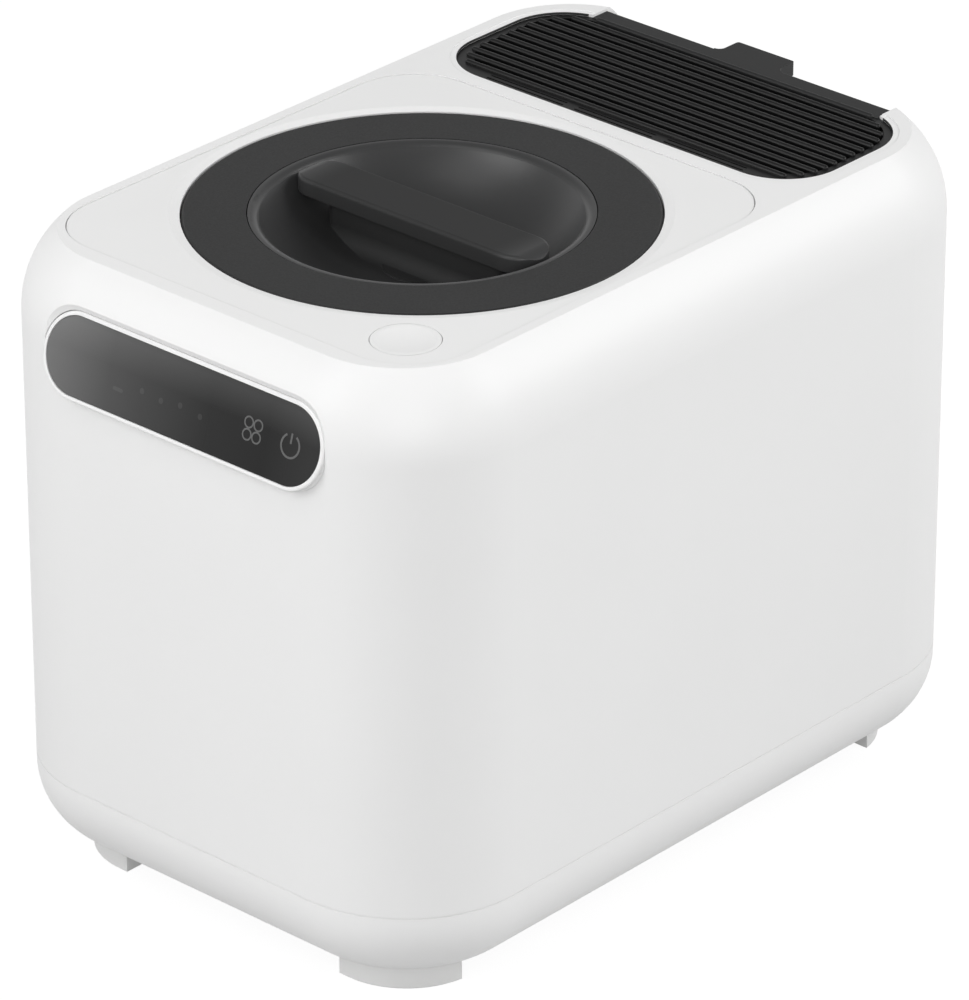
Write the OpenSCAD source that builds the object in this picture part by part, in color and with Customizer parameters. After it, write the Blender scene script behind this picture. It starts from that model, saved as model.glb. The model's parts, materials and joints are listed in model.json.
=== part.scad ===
// Counter-top food waste composter: a rounded white casing with a turn-lock lid,
// a lift-out bucket with a driven mixing rotor, and a lift-out carbon filter at the rear.
// The front is -Y and up is +Z. The origin is on the table under the middle of the outline.
// Millimetres throughout.

/* [Body] */
// Width across the casing
body_w = 240; // [232:1:300]
// Depth of the casing from front to rear
body_d = 352; // [344:1:430]
// Height from the table to the rim
total_h = 274; // [266:1:334]
// Radius of the upright corners
corner_r = 56.5; // [52:0.5:60]
// Wall of the white mouldings
wall = 2.6; // [2.2:0.1:3]
// Width of the roll along the top edge
roll_in = 15; // [13:0.5:16]
// Height of the roll along the top edge
roll_down = 34.2; // [30:0.5:36]
// Radius of the roll along the bottom edge
base_roll = 31.5; // [26:0.5:34]
// From the top of the bottom roll up to the joint between casing and tray
seam_up = 4.6; // [2:0.2:9]
// Height of the feet below the tray
foot_h = 8.5; // [6:0.5:10]
// From the outline of the casing in to the feet
foot_in = 22; // [20:0.5:24]
// From the middle of the front to a foot
foot_x0 = 58.8; // [50:0.2:70]
// From the middle of the side to a foot
foot_y0 = 125; // [110:0.5:128]

/* [Deck] */
// Width of the rim strip between the deck and the roll
rim_strip = 4.9; // [4:0.1:6]
// From the front of the casing to the deck
deck_front_in = 22.7; // [21:0.1:26]
// Corner radius of the deck
deck_corner = 28.5; // [24:0.5:32]
// Thickness of the deck panel
deck_t = 3; // [2.4:0.1:3.4]
// Depth of the deck below the rim
deck_drop = 0.4; // [0:0.1:0.8]
// Width of the joint round the deck
deck_gap = 0.35; // [0.2:0.05:0.6]
// Radius of the round push button
button_r = 13.7; // [11:0.1:15]
// Sideways place of the push button
button_x = 75; // [70:0.5:78]
// From the front of the casing to the middle of the button
button_in = 45.4; // [43:0.1:48]
// Travel of the push button
button_travel = 2; // [1:0.1:2.4]

/* [Lid] */
// Outer radius of the lid
lid_r = 94.5; // [93:0.1:96]
// From the front edge of the deck to the middle of the lid
lid_in = 113.3; // [110:0.1:124]
// Depth of the lid below the rim
lid_drop = 1.2; // [1:0.1:4]
// Width of the edge of the deck that slopes down to the lid
lid_slope = 4; // [2:0.5:4.5]
// Thickness of the lid at its edge
lid_edge = 5; // [4:0.1:6]
// Width of the fixed ring round the turning dish
ring_w = 26; // [24:0.5:30]
// Depth of the dish
dish_depth = 24; // [20:0.5:26]
// From the end of the grip bar to the edge of the dish
bar_in = 5.75; // [5:0.25:12]
// Width of the grip bar
bar_w = 23; // [20:0.5:26]
// Thickness of the grip bar
bar_t = 7; // [6:0.1:8]
// Turn of the dish from open to locked, in degrees
knob_turn = 60; // [45:1:60]
// Travel of each lock bolt
bolt_travel = 5; // [4:0.1:5.5]

/* [Bucket] */
// Room between the bucket and the mouth it lifts through
bucket_gap = 5.5; // [5:0.5:9]
// How much narrower the bucket is at its foot
bucket_taper = 4; // [2:0.5:6]
// Wall of the bucket
bucket_wall = 2; // [1.6:0.1:2.4]
// From the bucket's outside to the middle of the bail's wire
bail_in = 10.5; // [10:0.5:14]

/* [Display] */
// Length of the dark glass
glass_l = 144.9; // [120:0.1:150]
// Height of the dark glass
glass_h = 31.6; // [28:0.1:34]
// Width of the white bezel round the glass
bezel_w = 1.9; // [1.6:0.1:3]
// Backward tilt of the display, in degrees
display_tilt = 17; // [14:0.5:19]
// From the rim down to the middle of the glass
display_drop = 34; // [32:0.5:38]

/* [Vent cover] */
// From each side of the casing to the cover
vent_side_in = 23.4; // [22:0.1:28]
// From the rear of the casing to the back of the grille
vent_rear_in = 26.9; // [25:0.1:30]
// Length of the grille from front to rear
vent_len = 79.3; // [78:0.1:84]
// Corner radius of the grille
vent_corner = 26.1; // [22:0.1:28]
// Spacing of the cross ribs
rib_pitch = 5.65; // [5:0.01:7]
// Width of a cross rib
rib_w = 2.5; // [2.2:0.1:3.2]
// From the front of the cover to the middle of the first rib
lip_l = 9.7; // [8:0.1:12]
// Width of the frame beside the ribs
frame_w = 4.4; // [4:0.1:6]
// Width of the rear strip
strip_w = 153; // [130:1:156]
// From the last rib to the rear of the strip
strip_l = 10.1; // [8:0.1:12]
// Width of the finger tab
tab_w = 30.4; // [24:0.2:40]
// How far the finger tab stands out behind the strip
tab_l = 11.4; // [9:0.2:13]

/* [Drive] */
// Teeth of the output gear
output_teeth = 48; // [46:1:50]
// Teeth of the small gears on the two relays
relay_small = 14; // [14:1:15]
// Teeth of the large gear on the lower relay
relay_low_large = 42; // [40:1:43]
// Teeth of the large gear on the upper relay
relay_high_large = 40; // [38:1:41]
// Teeth of the motor pinion
pinion_teeth = 12; // [12:1:13]
// Radius of the drive motor
motor_r = 27; // [22:0.5:29]

/* [Hidden] */
$fn = 96;

// Clearances
fit = 0.3;       // between pieces that lift or slide apart
run = 0.05;      // radial, shaft in bore
panel_gap = 0.25;

// Outline of the casing
half_w = body_w / 2;
half_d = body_d / 2;
roll_r = (roll_in * roll_in + roll_down * roll_down) / (2 * roll_in);
roll_x = corner_r - roll_r;
roll_z = total_h - roll_down;
base_x = corner_r - base_roll;
base_z = foot_h + base_roll;
floor_z = foot_h + wall;
seam_z = base_z + seam_up;

// Display pod: its plane passes through the front face at this height
display_z = total_h - display_drop;
glass_lift = -0.4;
bezel_edge = 0.8;
bezel_h = glass_h / 2 + bezel_w;
bezel_l = glass_l / 2 + bezel_w;
pod_depth = 13;
pod_proud = bezel_edge * (1 - cos(display_tilt)) + (bezel_h - bezel_edge) * sin(display_tilt);
// The casing stands this far back, so that the whole outline is centred on the origin
mid_y = pod_proud / 2;

// Deck
deck_hw = half_w - roll_in - rim_strip;
deck_y0 = -half_d + deck_front_in;
vent_hw = half_w - vent_side_in;
vent_y1 = half_d - vent_rear_in;
vent_y0 = vent_y1 - vent_len;
bridge = 8.8;
deck_y1 = vent_y0 - bridge;
deck_top = total_h - deck_drop;
deck_z = deck_top - deck_t;
button_y = -half_d + button_in;
lid_y = deck_y0 + lid_in;

// Lid, from the top down
lid_top = total_h - lid_drop;
seat_z = lid_top - lid_edge;
mouth_r = lid_r - 7;
lid_seat_gap = 0.5;
skirt_r = mouth_r - 0.6;
dish_r = lid_r - ring_w;
bar_l = 2 * (dish_r - bar_in);
dish_t = 3;
dish_floor = lid_top - dish_depth;
dish_flat = 22;
// The rim rolls over into the bowl: an arc tangent to the top and to the bowl
dish_lip = 4;
lip_x = dish_r - 1;
bowl_r = (pow(lip_x - dish_flat, 2) + pow(dish_depth - dish_lip, 2) - dish_lip * dish_lip)
    / (2 * dish_depth);
cam_t = 3;
cam_z = dish_floor - dish_t - cam_t;
bolt_h = 4.2;
bolt_w = 16;
bolt_z = cam_z + cam_t + fit;
bolt_pin_r = 2;
// The bolts start where the underside of the dish has risen clear of them
bolt_in = dish_flat + 3.4
    + chord(bowl_r + dish_t, bowl_r + dish_floor - bolt_z - bolt_h);
bolt_pin_x = bolt_in + 5;
cam_r = bolt_pin_x + bolt_travel * (knob_turn + 3) / knob_turn + bolt_pin_r + 2.75;
bolt_out = skirt_r - 1;
lid_base_t = 2.7;
lid_base_z = cam_z - 0.5 - lid_base_t;
gasket_h = 3;
gasket_z = lid_base_z - gasket_h;
collar_z = gasket_z + 0.4;

// Bucket and its chamber
bucket_top = gasket_z - fit;
bucket_r = mouth_r - bucket_gap;
bail_r = bucket_r - bail_in;
heater_z = foot_h + 75.5;
heater_t = 6;
liner_floor = heater_z - heater_t;
liner_t = 1.8;
liner_r = mouth_r - 0.3;
flange_t = 2.5;
flange_r = mouth_r - 0.9;
bail_z = bucket_top - 9;
bail_wire = 2;
bail_grip_r = 4.6;
bail_pin_end = bucket_r + 1.6;
shaft_r = 6;
socket_r = 12;
socket_depth = 9;
hex_r = 8;
drive_hole_r = 22;

// Gear train, modules and places
stage_m = [2, 1.5, 1.25];
gear_pressure = 25;
lid_axis = [0, lid_y];
low_from_output = (output_teeth + relay_small) * stage_m[0] / 2;
high_from_low = (relay_low_large + relay_small) * stage_m[1] / 2;
pinion_from_high = (relay_high_large + pinion_teeth) * stage_m[2] / 2;
low_dir = 62;
motor_dir = 75;
low_axis = lid_axis + low_from_output * [cos(low_dir), sin(low_dir)];
// The motor stands beside the liner, and the upper relay closes the train between them
motor_axis = lid_axis + (liner_r + liner_t + motor_r + 4) * [cos(motor_dir), sin(motor_dir)];
low_to_motor = norm(motor_axis - low_axis);
high_dir = heading(low_axis, motor_axis) + acos((high_from_low * high_from_low
    + low_to_motor * low_to_motor - pinion_from_high * pinion_from_high)
    / (2 * high_from_low * low_to_motor));
high_axis = low_axis + high_from_low * [cos(high_dir), sin(high_dir)];
pinion_dir = heading(high_axis, motor_axis);
box_z = floor_z + 4.9;
box_t = 3;
layer_z = [box_z + 4, box_z + 15.5, box_z + 25];
layer_h = [10, 8, 7];
box_top = box_z + 34;
pin_r = 3;
output_r = 5;
motor_shaft_r = 2.5;
motor_z = box_top + box_t;
motor_h = 62;

// Filter and air path
vent_top = total_h - 1.4;
vent_t = 3;
bay_wall = 2;
bay_z = vent_top - 72.6;
blower_z = bay_z - 46;
bay_hw = vent_hw - 5;
bay_y0 = vent_y0 + 4;
bay_y1 = vent_y1 - 3;
bay_corner = 20;
blower_x = -48;
blower_y0 = bay_y0 + 4;
blower_d = 26;
scroll = [38, 35, 32, 29];
impeller_r = scroll[3] - 7;
inlet_r = 17;
port_z = collar_z - 29;
port_h = 18;
port_w = 44;

// Places along a circle
function polar(r, a) = [r * cos(a), r * sin(a)];
// Direction from one place to another
function heading(from, to) = atan2(to[1] - from[1], to[0] - from[0]);
// Half-height of a chord of a circle at distance d from its centre
function chord(r, d) = sqrt(r * r - d * d);

// The casing is modelled about its own middle and moved back to centre the outline
module in_body() {
    translate([0, mid_y, 0]) children();
}

// The lid, bucket and gears stand on the lid's own axis
module on_lid_axis() {
    in_body() translate([0, lid_y, 0]) children();
}

module at(p) {
    translate([p[0], p[1], 0]) children();
}

module rounded_2d(hw, y0, y1, r) {
    translate([-hw + r, y0]) square([2 * (hw - r), y1 - y0]);
    translate([-hw, y0 + r]) square([2 * hw, y1 - y0 - 2 * r]);
    for (x = [-hw + r, hw - r], y = [y0 + r, y1 - r]) translate([x, y]) circle(r);
}

module slab(z0, z1) {
    translate([0, 0, z0]) linear_extrude(z1 - z0) children();
}

module tube(r_out, r_in, z0, z1) {
    difference() {
        translate([0, 0, z0]) cylinder(r = r_out, h = z1 - z0);
        translate([0, 0, z0 - 1]) cylinder(r = r_in, h = z1 - z0 + 2);
    }
}

module rod(r, z0, z1) {
    translate([0, 0, z0]) cylinder(r = r, h = z1 - z0);
}

// Stadium outline of half-length hl and half-height hh, lying along X
module stadium_2d(hl, hh) {
    square([2 * (hl - hh), 2 * hh], center = true);
    for (s = [-1, 1]) translate([s * (hl - hh), 0]) circle(hh);
}

// A profile whose X is the distance from the middle line, run round a stadium
module stadium_sweep(straight) {
    for (s = [0, 180]) rotate([0, 0, s]) {
        translate([straight, 0, 0]) rotate([0, 0, -90]) rotate_extrude(angle = 180) children();
        translate([-straight, 0, 0]) rotate([90, 0, 90]) linear_extrude(2 * straight) children();
    }
}

// A profile whose X runs out from the corner centres, swept round the casing's outline
module casing_sweep(z0, z1) {
    cx = half_w - corner_r;
    cy = half_d - corner_r;
    for (c = [[1, 1, 0], [-1, 1, 90], [-1, -1, 180], [1, -1, 270]])
        translate([c[0] * cx, c[1] * cy, 0]) rotate([0, 0, c[2]])
            rotate_extrude(angle = 90) children();
    translate([0, cy, 0]) rotate([90, 0, 0]) linear_extrude(2 * cy)
        both_sides(cx, z0, z1) children();
    rotate([0, 0, 90]) translate([0, cx, 0]) rotate([90, 0, 0]) linear_extrude(2 * cx)
        both_sides(cy, z0, z1) children();
}

module both_sides(half, z0, z1) {
    translate([half, 0]) children();
    mirror([1, 0]) translate([half, 0]) children();
    translate([-half - 1, z0]) square([2 * half + 2, z1 - z0]);
}

// Wall and top roll of the casing, t inside its outer face
module casing_profile(t, z0) {
    difference() {
        translate([0, z0]) square([corner_r - t, total_h - t - z0]);
        difference() {
            translate([roll_x, roll_z]) square([roll_r + 1, roll_down + 1]);
            translate([roll_x, roll_z]) circle(roll_r - t);
        }
    }
}

module casing_solid(t, z0) {
    casing_sweep(z0, total_h - t) casing_profile(t, z0);
}

// Bottom roll of the tray, t inside its outer face
module tray_profile(t, z1) {
    difference() {
        translate([0, foot_h + t]) square([corner_r - t, z1 - foot_h - t]);
        difference() {
            translate([base_x, foot_h]) square([base_roll + 1, base_roll]);
            translate([base_x, base_z]) circle(base_roll - t);
        }
    }
}

module tray_solid(t, z1) {
    casing_sweep(foot_h + t, z1) tray_profile(t, z1);
}

module casing_outline(t) {
    rounded_2d(half_w - t, -half_d + t, half_d - t, corner_r - t);
}

module deck_outline(out) {
    rounded_2d(deck_hw + out, deck_y0 - out, deck_y1 + out, deck_corner + out);
}

module vent_outline(out) {
    rounded_2d(vent_hw + out, vent_y0 - out, vent_y1 + out, vent_corner + out);
}

// Tilted frame of the display: X across, Y up the glass, Z out of it
module on_display() {
    translate([0, -half_d, display_z]) rotate([90 - display_tilt, 0, 0]) children();
}

// Slot in the casing behind the grille, for the rear strip of the vent cover
strip_z = roll_z + 10;
strip_t = 3;
strip_top = total_h - 1;
// Fine step in the casing round the cover
vent_margin = 2.8;
vent_step = 0.3;
module strip_slot(out) {
    translate([-strip_w / 2 - out, vent_y1 - 20, strip_z - out])
        cube([strip_w + 2 * out, half_d - vent_y1 + 40, total_h]);
}

// Screw posts stand just inside the bottom roll, clear of the feet
post_x = half_w - base_roll - 5;
post_y = foot_y0 - 17;
post_z = seam_z - 14;
module casing_posts() {
    for (x = [-1, 1], y = [-1, 1])
        translate([x * post_x, y * post_y, 0]) mirror([x < 0 ? 1 : 0, 0, 0]) children();
}

module outer_casing() {
    color("whitesmoke") in_body() {
        difference() {
            casing_solid(0, seam_z);
            casing_solid(wall, seam_z - 1);
            slab(seam_z, total_h + 1) deck_outline(deck_gap);
            slab(seam_z, total_h + 1) vent_outline(panel_gap);
            strip_slot(panel_gap);
            slab(total_h - vent_step, total_h + 1) vent_outline(vent_margin);
            on_display() slab(-40, 40) stadium_2d(bezel_l + panel_gap, bezel_h + panel_gap);
            on_display() scoop();
            inlet_hole();
        }
        difference() {
            slab(deck_z - 2.6, total_h - wall / 2) deck_outline(deck_gap + 2.2);
            slab(deck_z, total_h + 1) deck_outline(deck_gap);
            slab(deck_z - 4, deck_z + 1) deck_outline(-3);
            at(lid_axis) rod(lid_r + lid_seat_gap + 2.4 + fit, deck_z - 4, deck_z);
        }
        difference() {
            slab(vent_top - vent_t - 2.4, total_h - wall / 2) vent_outline(2.2);
            slab(vent_top - vent_t, total_h + 1) vent_outline(panel_gap);
            slab(vent_top - 20, vent_top) vent_outline(-2.4);
            strip_slot(panel_gap);
        }
        rear_well();
        casing_posts() casing_post();
    }
}

// Finger well behind the vent cover: floor, sides and the low wall that the cover's skirt hides
module rear_well() {
    hx = strip_w / 2 + panel_gap;
    well_y0 = strip_y1 - 7.5;
    low_wall = 2;
    difference() {
        intersection() {
            casing_solid(0, strip_z - wall);
            translate([-hx - wall, well_y0, strip_z - wall])
                cube([2 * (hx + wall), half_d, total_h]);
        }
        translate([-hx, well_y0 + low_wall, strip_z]) cube([2 * hx, half_d, total_h]);
        translate([-hx, well_y0 - 1, strip_top - strip_t - fit])
            cube([2 * hx, low_wall + 2, total_h]);
        slab(strip_z - wall - 1, total_h + 1) vent_outline(panel_gap);
    }
}

// Shallow valley where the display sinks into the top roll
module scoop() {
    straight = bezel_l - bezel_h;
    stadium_sweep(straight)
        polygon([[0, 0], [bezel_h + 0.3, 0], [bezel_h + 5.3, 4], [0, 4]]);
}

// Screw post inside a corner of the casing, with its pilot bore
module casing_post() {
    difference() {
        rod(5, post_z, seam_z + 26);
        rod(1.6, post_z - 1, seam_z + 10);
    }
    translate([4, -1, seam_z + 8]) cube([half_w - wall / 2 - post_x - 4, 2, 18]);
}

module base_tray() {
    color("white") in_body() {
        difference() {
            tray_solid(0, seam_z);
            tray_solid(wall, seam_z + 1);
            difference() {
                slab(seam_z - 0.5, seam_z + 1) casing_outline(-1);
                slab(seam_z - 1, seam_z + 2) casing_outline(1.2);
            }
            casing_posts() rod(5, foot_h - 1, foot_h + 4);
            for (i = [-5:5]) translate([i * 9 - 1.75, half_d - 90, foot_h - 1])
                cube([3.5, 50, 5]);
        }
        difference() {
            slab(seam_z - 8, seam_z + 6) casing_outline(wall + 0.3);
            slab(seam_z - 9, seam_z + 7) casing_outline(wall + 1.9);
        }
        slab(seam_z - 8, seam_z - 4) tongue_foot();
        casing_posts() difference() {
            rod(6, foot_h + 0.6, post_z);
            rod(1.9, foot_h, post_z + 1);
            rod(4, foot_h, screw_seat);
        }
        for (p = box_feet()) at(p) tube(6, 1.6, floor_z - 0.5, box_z);
    }
}

screw_seat = foot_h + 9;

// Strip that ties the tongue to the tray's wall
module tongue_foot() {
    difference() {
        casing_outline(wall / 2);
        casing_outline(wall + 1.9);
    }
}

// Where the gearbox is screwed down to the tray
function box_feet() = [
    lid_axis + polar(47, 150), lid_axis + polar(47, 250), lid_axis + polar(47, 330),
    motor_axis + polar(24, 60), motor_axis + polar(24, 150)];

module feet() {
    color("white") in_body() difference() {
        slab(0, base_z) difference() {
            casing_outline(foot_in);
            square([2 * foot_x0, 2 * half_d], center = true);
            square([2 * half_w, 2 * foot_y0], center = true);
        }
        tray_solid(0, seam_z);
    }
}

module top_deck() {
    color("whitesmoke") in_body() {
        difference() {
            slab(deck_z, deck_top) deck_outline(0);
            at(lid_axis) rod(lid_r + lid_seat_gap, deck_z - 1, deck_top + 1);
            at(lid_axis) translate([0, 0, lid_top]) deck_slope();
            translate([button_x, button_y, 0]) rod(button_r + panel_gap, deck_z - 1, deck_top + 1);
        }
        at(lid_axis) {
            tube(lid_r + lid_seat_gap + 2.4, lid_r + lid_seat_gap, seat_z - 2.4, deck_z + 1);
            tube(lid_r + lid_seat_gap + 2.4, mouth_r, seat_z - 2.4, seat_z);
            difference() {
                tube(mouth_r + 2.6, mouth_r, collar_z, seat_z - 1);
                for (i = [0:2]) rotate([0, 0, bolt_angle(i)])
                    translate([mouth_r - 4, -bolt_w / 2 - 0.6, bolt_z - 0.6])
                        cube([10, bolt_w + 1.2, bolt_h + 1.2]);
            }
            tube(mouth_r + 8, mouth_r, collar_z, collar_z + 2.4);
        }
        translate([button_x, button_y, 0]) {
            tube(button_r + panel_gap + 1.6, button_r + panel_gap, deck_z - 7.5, deck_z + 1);
            for (a = [0:90:270]) rotate([0, 0, a]) translate([button_r + 1.2, -1, deck_z - 7.5])
                cube([3.5, 2, 8.5]);
        }
    }
}

// Cut that slopes the deck down to the top of the lid, made twice as tall to pass the face
module deck_slope() {
    r = lid_r + lid_seat_gap;
    cylinder(h = 2 * (deck_top - lid_top), r1 = r, r2 = r + 2 * lid_slope);
}

function bolt_angle(i) = 30 + 120 * i;

module display_bezel() {
    straight = glass_l / 2 - glass_h / 2;
    hh = glass_h / 2;
    color("white") in_body() on_display() difference() {
        stadium_sweep(straight) bezel_profile(hh);
        slab(-pod_depth + 2, -pod_depth + 10) square([glass_l - 60, 8], center = true);
    }
}

// Bezel wall, rounded front edge, and the back plate that carries the board
module bezel_profile(hh) {
    translate([bezel_h - bezel_edge, -bezel_edge]) circle(bezel_edge);
    translate([hh + 0.15, -bezel_edge]) square([bezel_w - 0.15 - bezel_edge, bezel_edge]);
    translate([hh + 0.15, -pod_depth]) square([bezel_w - 0.15, pod_depth - bezel_edge]);
    translate([0, -5]) square([hh + 1, 1.2]);
}

module display_window() {
    color("#26282b") in_body() on_display()
        slab(-3.8, glass_lift) stadium_2d(glass_l / 2, glass_h / 2);
}

module light_guide() {
    color("gainsboro") in_body() on_display() difference() {
        slab(-9, -5) square([glass_l - 40, 12], center = true);
        for (i = [-2:2]) translate([i * 21, 0, 0]) slab(-10, -6) square([6, 6], center = true);
    }
}

module touch_board() {
    color("darkgreen") in_body() on_display() {
        slab(-10.6, -9) square([glass_l - 34, 22], center = true);
        slab(-12.8, -10.6) translate([-20, 3]) square([12, 12], center = true);
        slab(-14.6, -10.6) translate([30, -4]) square([14, 7], center = true);
    }
}

button_top = deck_top;
button_t = 3.4;
switch_z = button_top - button_t - 5;

module deck_button() {
    color("whitesmoke") in_body() translate([button_x, button_y, 0]) difference() {
        union() {
            rod(button_r, button_top - button_t, button_top);
            tube(button_r, button_r - 1.4, deck_z - 5.5, button_top - button_t + 1);
            rod(2.2, switch_z + button_travel + 0.1, button_top - 1);
        }
        translate([0, 0, button_top + 58.8]) sphere(r = 60, $fn = 128);
    }
}

module button_spring() {
    color("silver") in_body() translate([button_x, button_y, 0]) spring_coil();
}

spring_turns = 4;
spring_wire = 0.45;
spring_r = 5;
spring_z0 = switch_z - 3 + spring_wire;
spring_z1 = button_top - button_t - spring_wire;

// Wire coil as one swept tube with closed ends
module spring_coil() {
    steps = spring_turns * 16;
    sides = 6;
    function centre(i) = [
        spring_r * cos(360 * spring_turns * i / steps),
        spring_r * sin(360 * spring_turns * i / steps),
        spring_z0 + (spring_z1 - spring_z0) * i / steps];
    function ring(i) = [for (k = [0:sides - 1]) let (
        a = 360 * spring_turns * i / steps,
        q = 360 * k / sides,
        out = [cos(a), sin(a), 0])
        centre(i) + spring_wire * (cos(q) * out + sin(q) * [0, 0, 1])];
    points = [for (i = [0:steps]) each ring(i)];
    sides_f = [for (i = [0:steps - 1], k = [0:sides - 1]) let (
        a = i * sides + k,
        b = i * sides + (k + 1) % sides)
        each [[a, b, a + sides], [b, b + sides, a + sides]]];
    ends = [for (k = [1:sides - 2]) each [
        [0, k + 1, k],
        [steps * sides, steps * sides + k, steps * sides + k + 1]]];
    polyhedron(points, concat(sides_f, ends));
}

module button_switch() {
    color("dimgray") in_body() translate([button_x, button_y, 0]) {
        slab(switch_z - 3, switch_z - 1) square([6, 6], center = true);
        rod(1.7, switch_z - 1.2, switch_z);
    }
}

module button_bracket() {
    z = switch_z - 3;
    color("whitesmoke") in_body() translate([button_x, button_y, 0]) rotate(45) {
        slab(z - 2, z) square([2 * button_r + 11, 12], center = true);
        for (s = [-1, 1]) translate([s * (button_r + 4), 0, 0])
            slab(z - 2, deck_z) square([3, 12], center = true);
    }
}

module chamber_liner() {
    color("silver") on_lid_axis() difference() {
        union() {
            rod(liner_r + liner_t, liner_floor - liner_t, collar_z - 2);
            rod(mouth_r + 7.5, collar_z - 2, collar_z);
        }
        rod(liner_r, liner_floor, collar_z + 1);
        rod(drive_hole_r, liner_floor - 3, liner_floor + 1);
        heater_studs() rod(4, liner_floor - 3, liner_floor + 1);
        translate([0, liner_r, port_z + port_h / 2])
            cube([port_w - 4, 30, port_h - 4], center = true);
    }
}

module heater_studs() {
    for (a = [200, 220]) rotate([0, 0, a]) translate([bucket_r - 20, 0, 0]) children();
}

module heater_plate() {
    color("darkgray") on_lid_axis() difference() {
        union() {
            tube(bucket_r - bucket_taper - 3, drive_hole_r, liner_floor, heater_z);
            heater_studs() rod(3, liner_floor - 9, liner_floor + 1);
        }
        tube(bucket_r - 25, bucket_r - 32, heater_z - 1, heater_z + 1);
    }
}

module thermal_cutout() {
    color("tan") on_lid_axis() translate([0, 32 - bucket_r, 0]) {
        rod(8, liner_floor - liner_t - 7, liner_floor - liner_t);
        slab(liner_floor - liner_t - 1, liner_floor - liner_t) square([26, 8], center = true);
        for (s = [-1, 1]) translate([s * 4, 0, 0])
            slab(liner_floor - liner_t - 12, liner_floor - liner_t - 6) square([0.8, 5], center = true);
    }
}

// Involute gear outline, tooth 0 centred on +X
function involute(a) = tan(a) - a * PI / 180;
module gear_2d(teeth, m) {
    rp = teeth * m / 2;
    rb = rp * cos(gear_pressure);
    ra = rp + 0.8 * m;
    rf = rp - 1.05 * m;
    rs = max(rb, rf) + 0.02 * m;
    slack = 0.09;
    half = (PI * m / 2 - slack) / (2 * rp);
    flank = [for (i = [0:2]) rs + (ra - rs) * i / 2];
    angle_at = function (r) (half + involute(gear_pressure) - involute(acos(rb / r))) * 180 / PI;
    polygon([for (t = [0:teeth - 1]) let (c = 360 * t / teeth) each concat(
        [polar(rf, c - angle_at(rs))],
        [for (r = flank) polar(r, c - angle_at(r))],
        [for (i = [2:-1:0]) polar(flank[i], c + angle_at(flank[i]))],
        [polar(rf, c + angle_at(rs))])]);
}

// Turn that puts a gear in mesh with its driver, whose tooth 0 stands at turn
function mesh_turn(dir, turn, teeth, own_teeth) =
    dir + 180 + 180 / own_teeth - (turn - dir) * teeth / own_teeth;

low_turn = mesh_turn(low_dir, 0, output_teeth, relay_small);
high_turn = mesh_turn(high_dir, 0, relay_low_large, relay_small);
pinion_turn = mesh_turn(pinion_dir, 0, relay_high_large, pinion_teeth);

module gear_layer(i, teeth, turn) {
    slab(layer_z[i], layer_z[i] + layer_h[i]) rotate(turn) gear_2d(teeth, stage_m[i]);
}

// Plan of the gearbox, grown by out
module box_plan(out) {
    at(lid_axis) circle(output_teeth * stage_m[0] / 2 + 4 + out);
    at(low_axis) circle(relay_low_large * stage_m[1] / 2 + 3.5 + out);
    at(high_axis) circle(relay_high_large * stage_m[2] / 2 + 3.5 + out);
    at(motor_axis) circle(motor_r + out);
}

// Lugs round the gearbox where its cover is screwed on
output_room = output_teeth * stage_m[0] / 2 + 9;
function cover_screws() = [
    lid_axis + polar(output_room, 200), lid_axis + polar(output_room, 285),
    lid_axis + polar(output_room, 350), motor_axis + polar(motor_r + 5, 10),
    motor_axis + polar(motor_r + 5, 110), high_axis + polar(relay_high_large * stage_m[2] / 2 + 8.5, 175)];
module cover_lugs(r) {
    for (p = cover_screws()) at(p) circle(r);
}

module gearbox_housing() {
    color("dimgray") in_body() difference() {
        union() {
            difference() {
                slab(box_z, box_top) {
                    box_plan(2.4);
                    cover_lugs(4.6);
                }
                slab(box_z + box_t, box_top + 1) box_plan(0);
                slab(box_top - 8, box_top + 1) cover_lugs(1.5);
            }
            at(lid_axis) rod(9, box_z, layer_z[0] - 0.2);
            for (p = [low_axis, high_axis]) at(p) rod(6, box_z, layer_z[0] - 0.2);
        }
        at(lid_axis) rod(output_r + run, box_z + 1, layer_z[0] + 1);
        for (p = [low_axis, high_axis]) at(p) rod(pin_r, box_z + 1, layer_z[0] + 1);
    }
}

module gearbox_cover() {
    color("gray") in_body() difference() {
        union() {
            slab(box_top, box_top + box_t) {
                box_plan(2.4);
                cover_lugs(4.6);
            }
            at(lid_axis) rod(13, box_top, box_top + 15);
            for (p = [low_axis, high_axis]) at(p) rod(6, box_top - 1.5, box_top + 0.5);
        }
        at(lid_axis) rod(output_r + 3, box_top - 1, box_top + 16);
        for (p = [low_axis, high_axis]) at(p) rod(pin_r, box_top - 3, box_top + 2);
        at(motor_axis) rod(9, box_top - 1, box_top + box_t + 1);
        for (a = [0, 180]) at(motor_axis + polar(17, a)) rod(1.7, box_top - 1, box_top + box_t + 1);
        slab(box_top - 1, box_top + box_t + 1) cover_lugs(1.7);
    }
}

module gear_pins() {
    color("silver") in_body() for (p = [low_axis, high_axis]) at(p)
        rod(pin_r, box_z + 1, box_top + 2);
}

module output_bush() {
    color("goldenrod") on_lid_axis() tube(output_r + 3, output_r + run, box_top + 1, box_top + 15);
}

output_top = heater_z - 2.6;
module output_shaft() {
    color("silver") on_lid_axis() {
        rod(output_r, box_z + 1.2, box_top + 17);
        rod(hex_r, box_top + 15.2, box_top + 19);
        translate([0, 0, box_top + 18]) cylinder(r = hex_r, h = output_top - box_top - 18, $fn = 6);
    }
}

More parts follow.
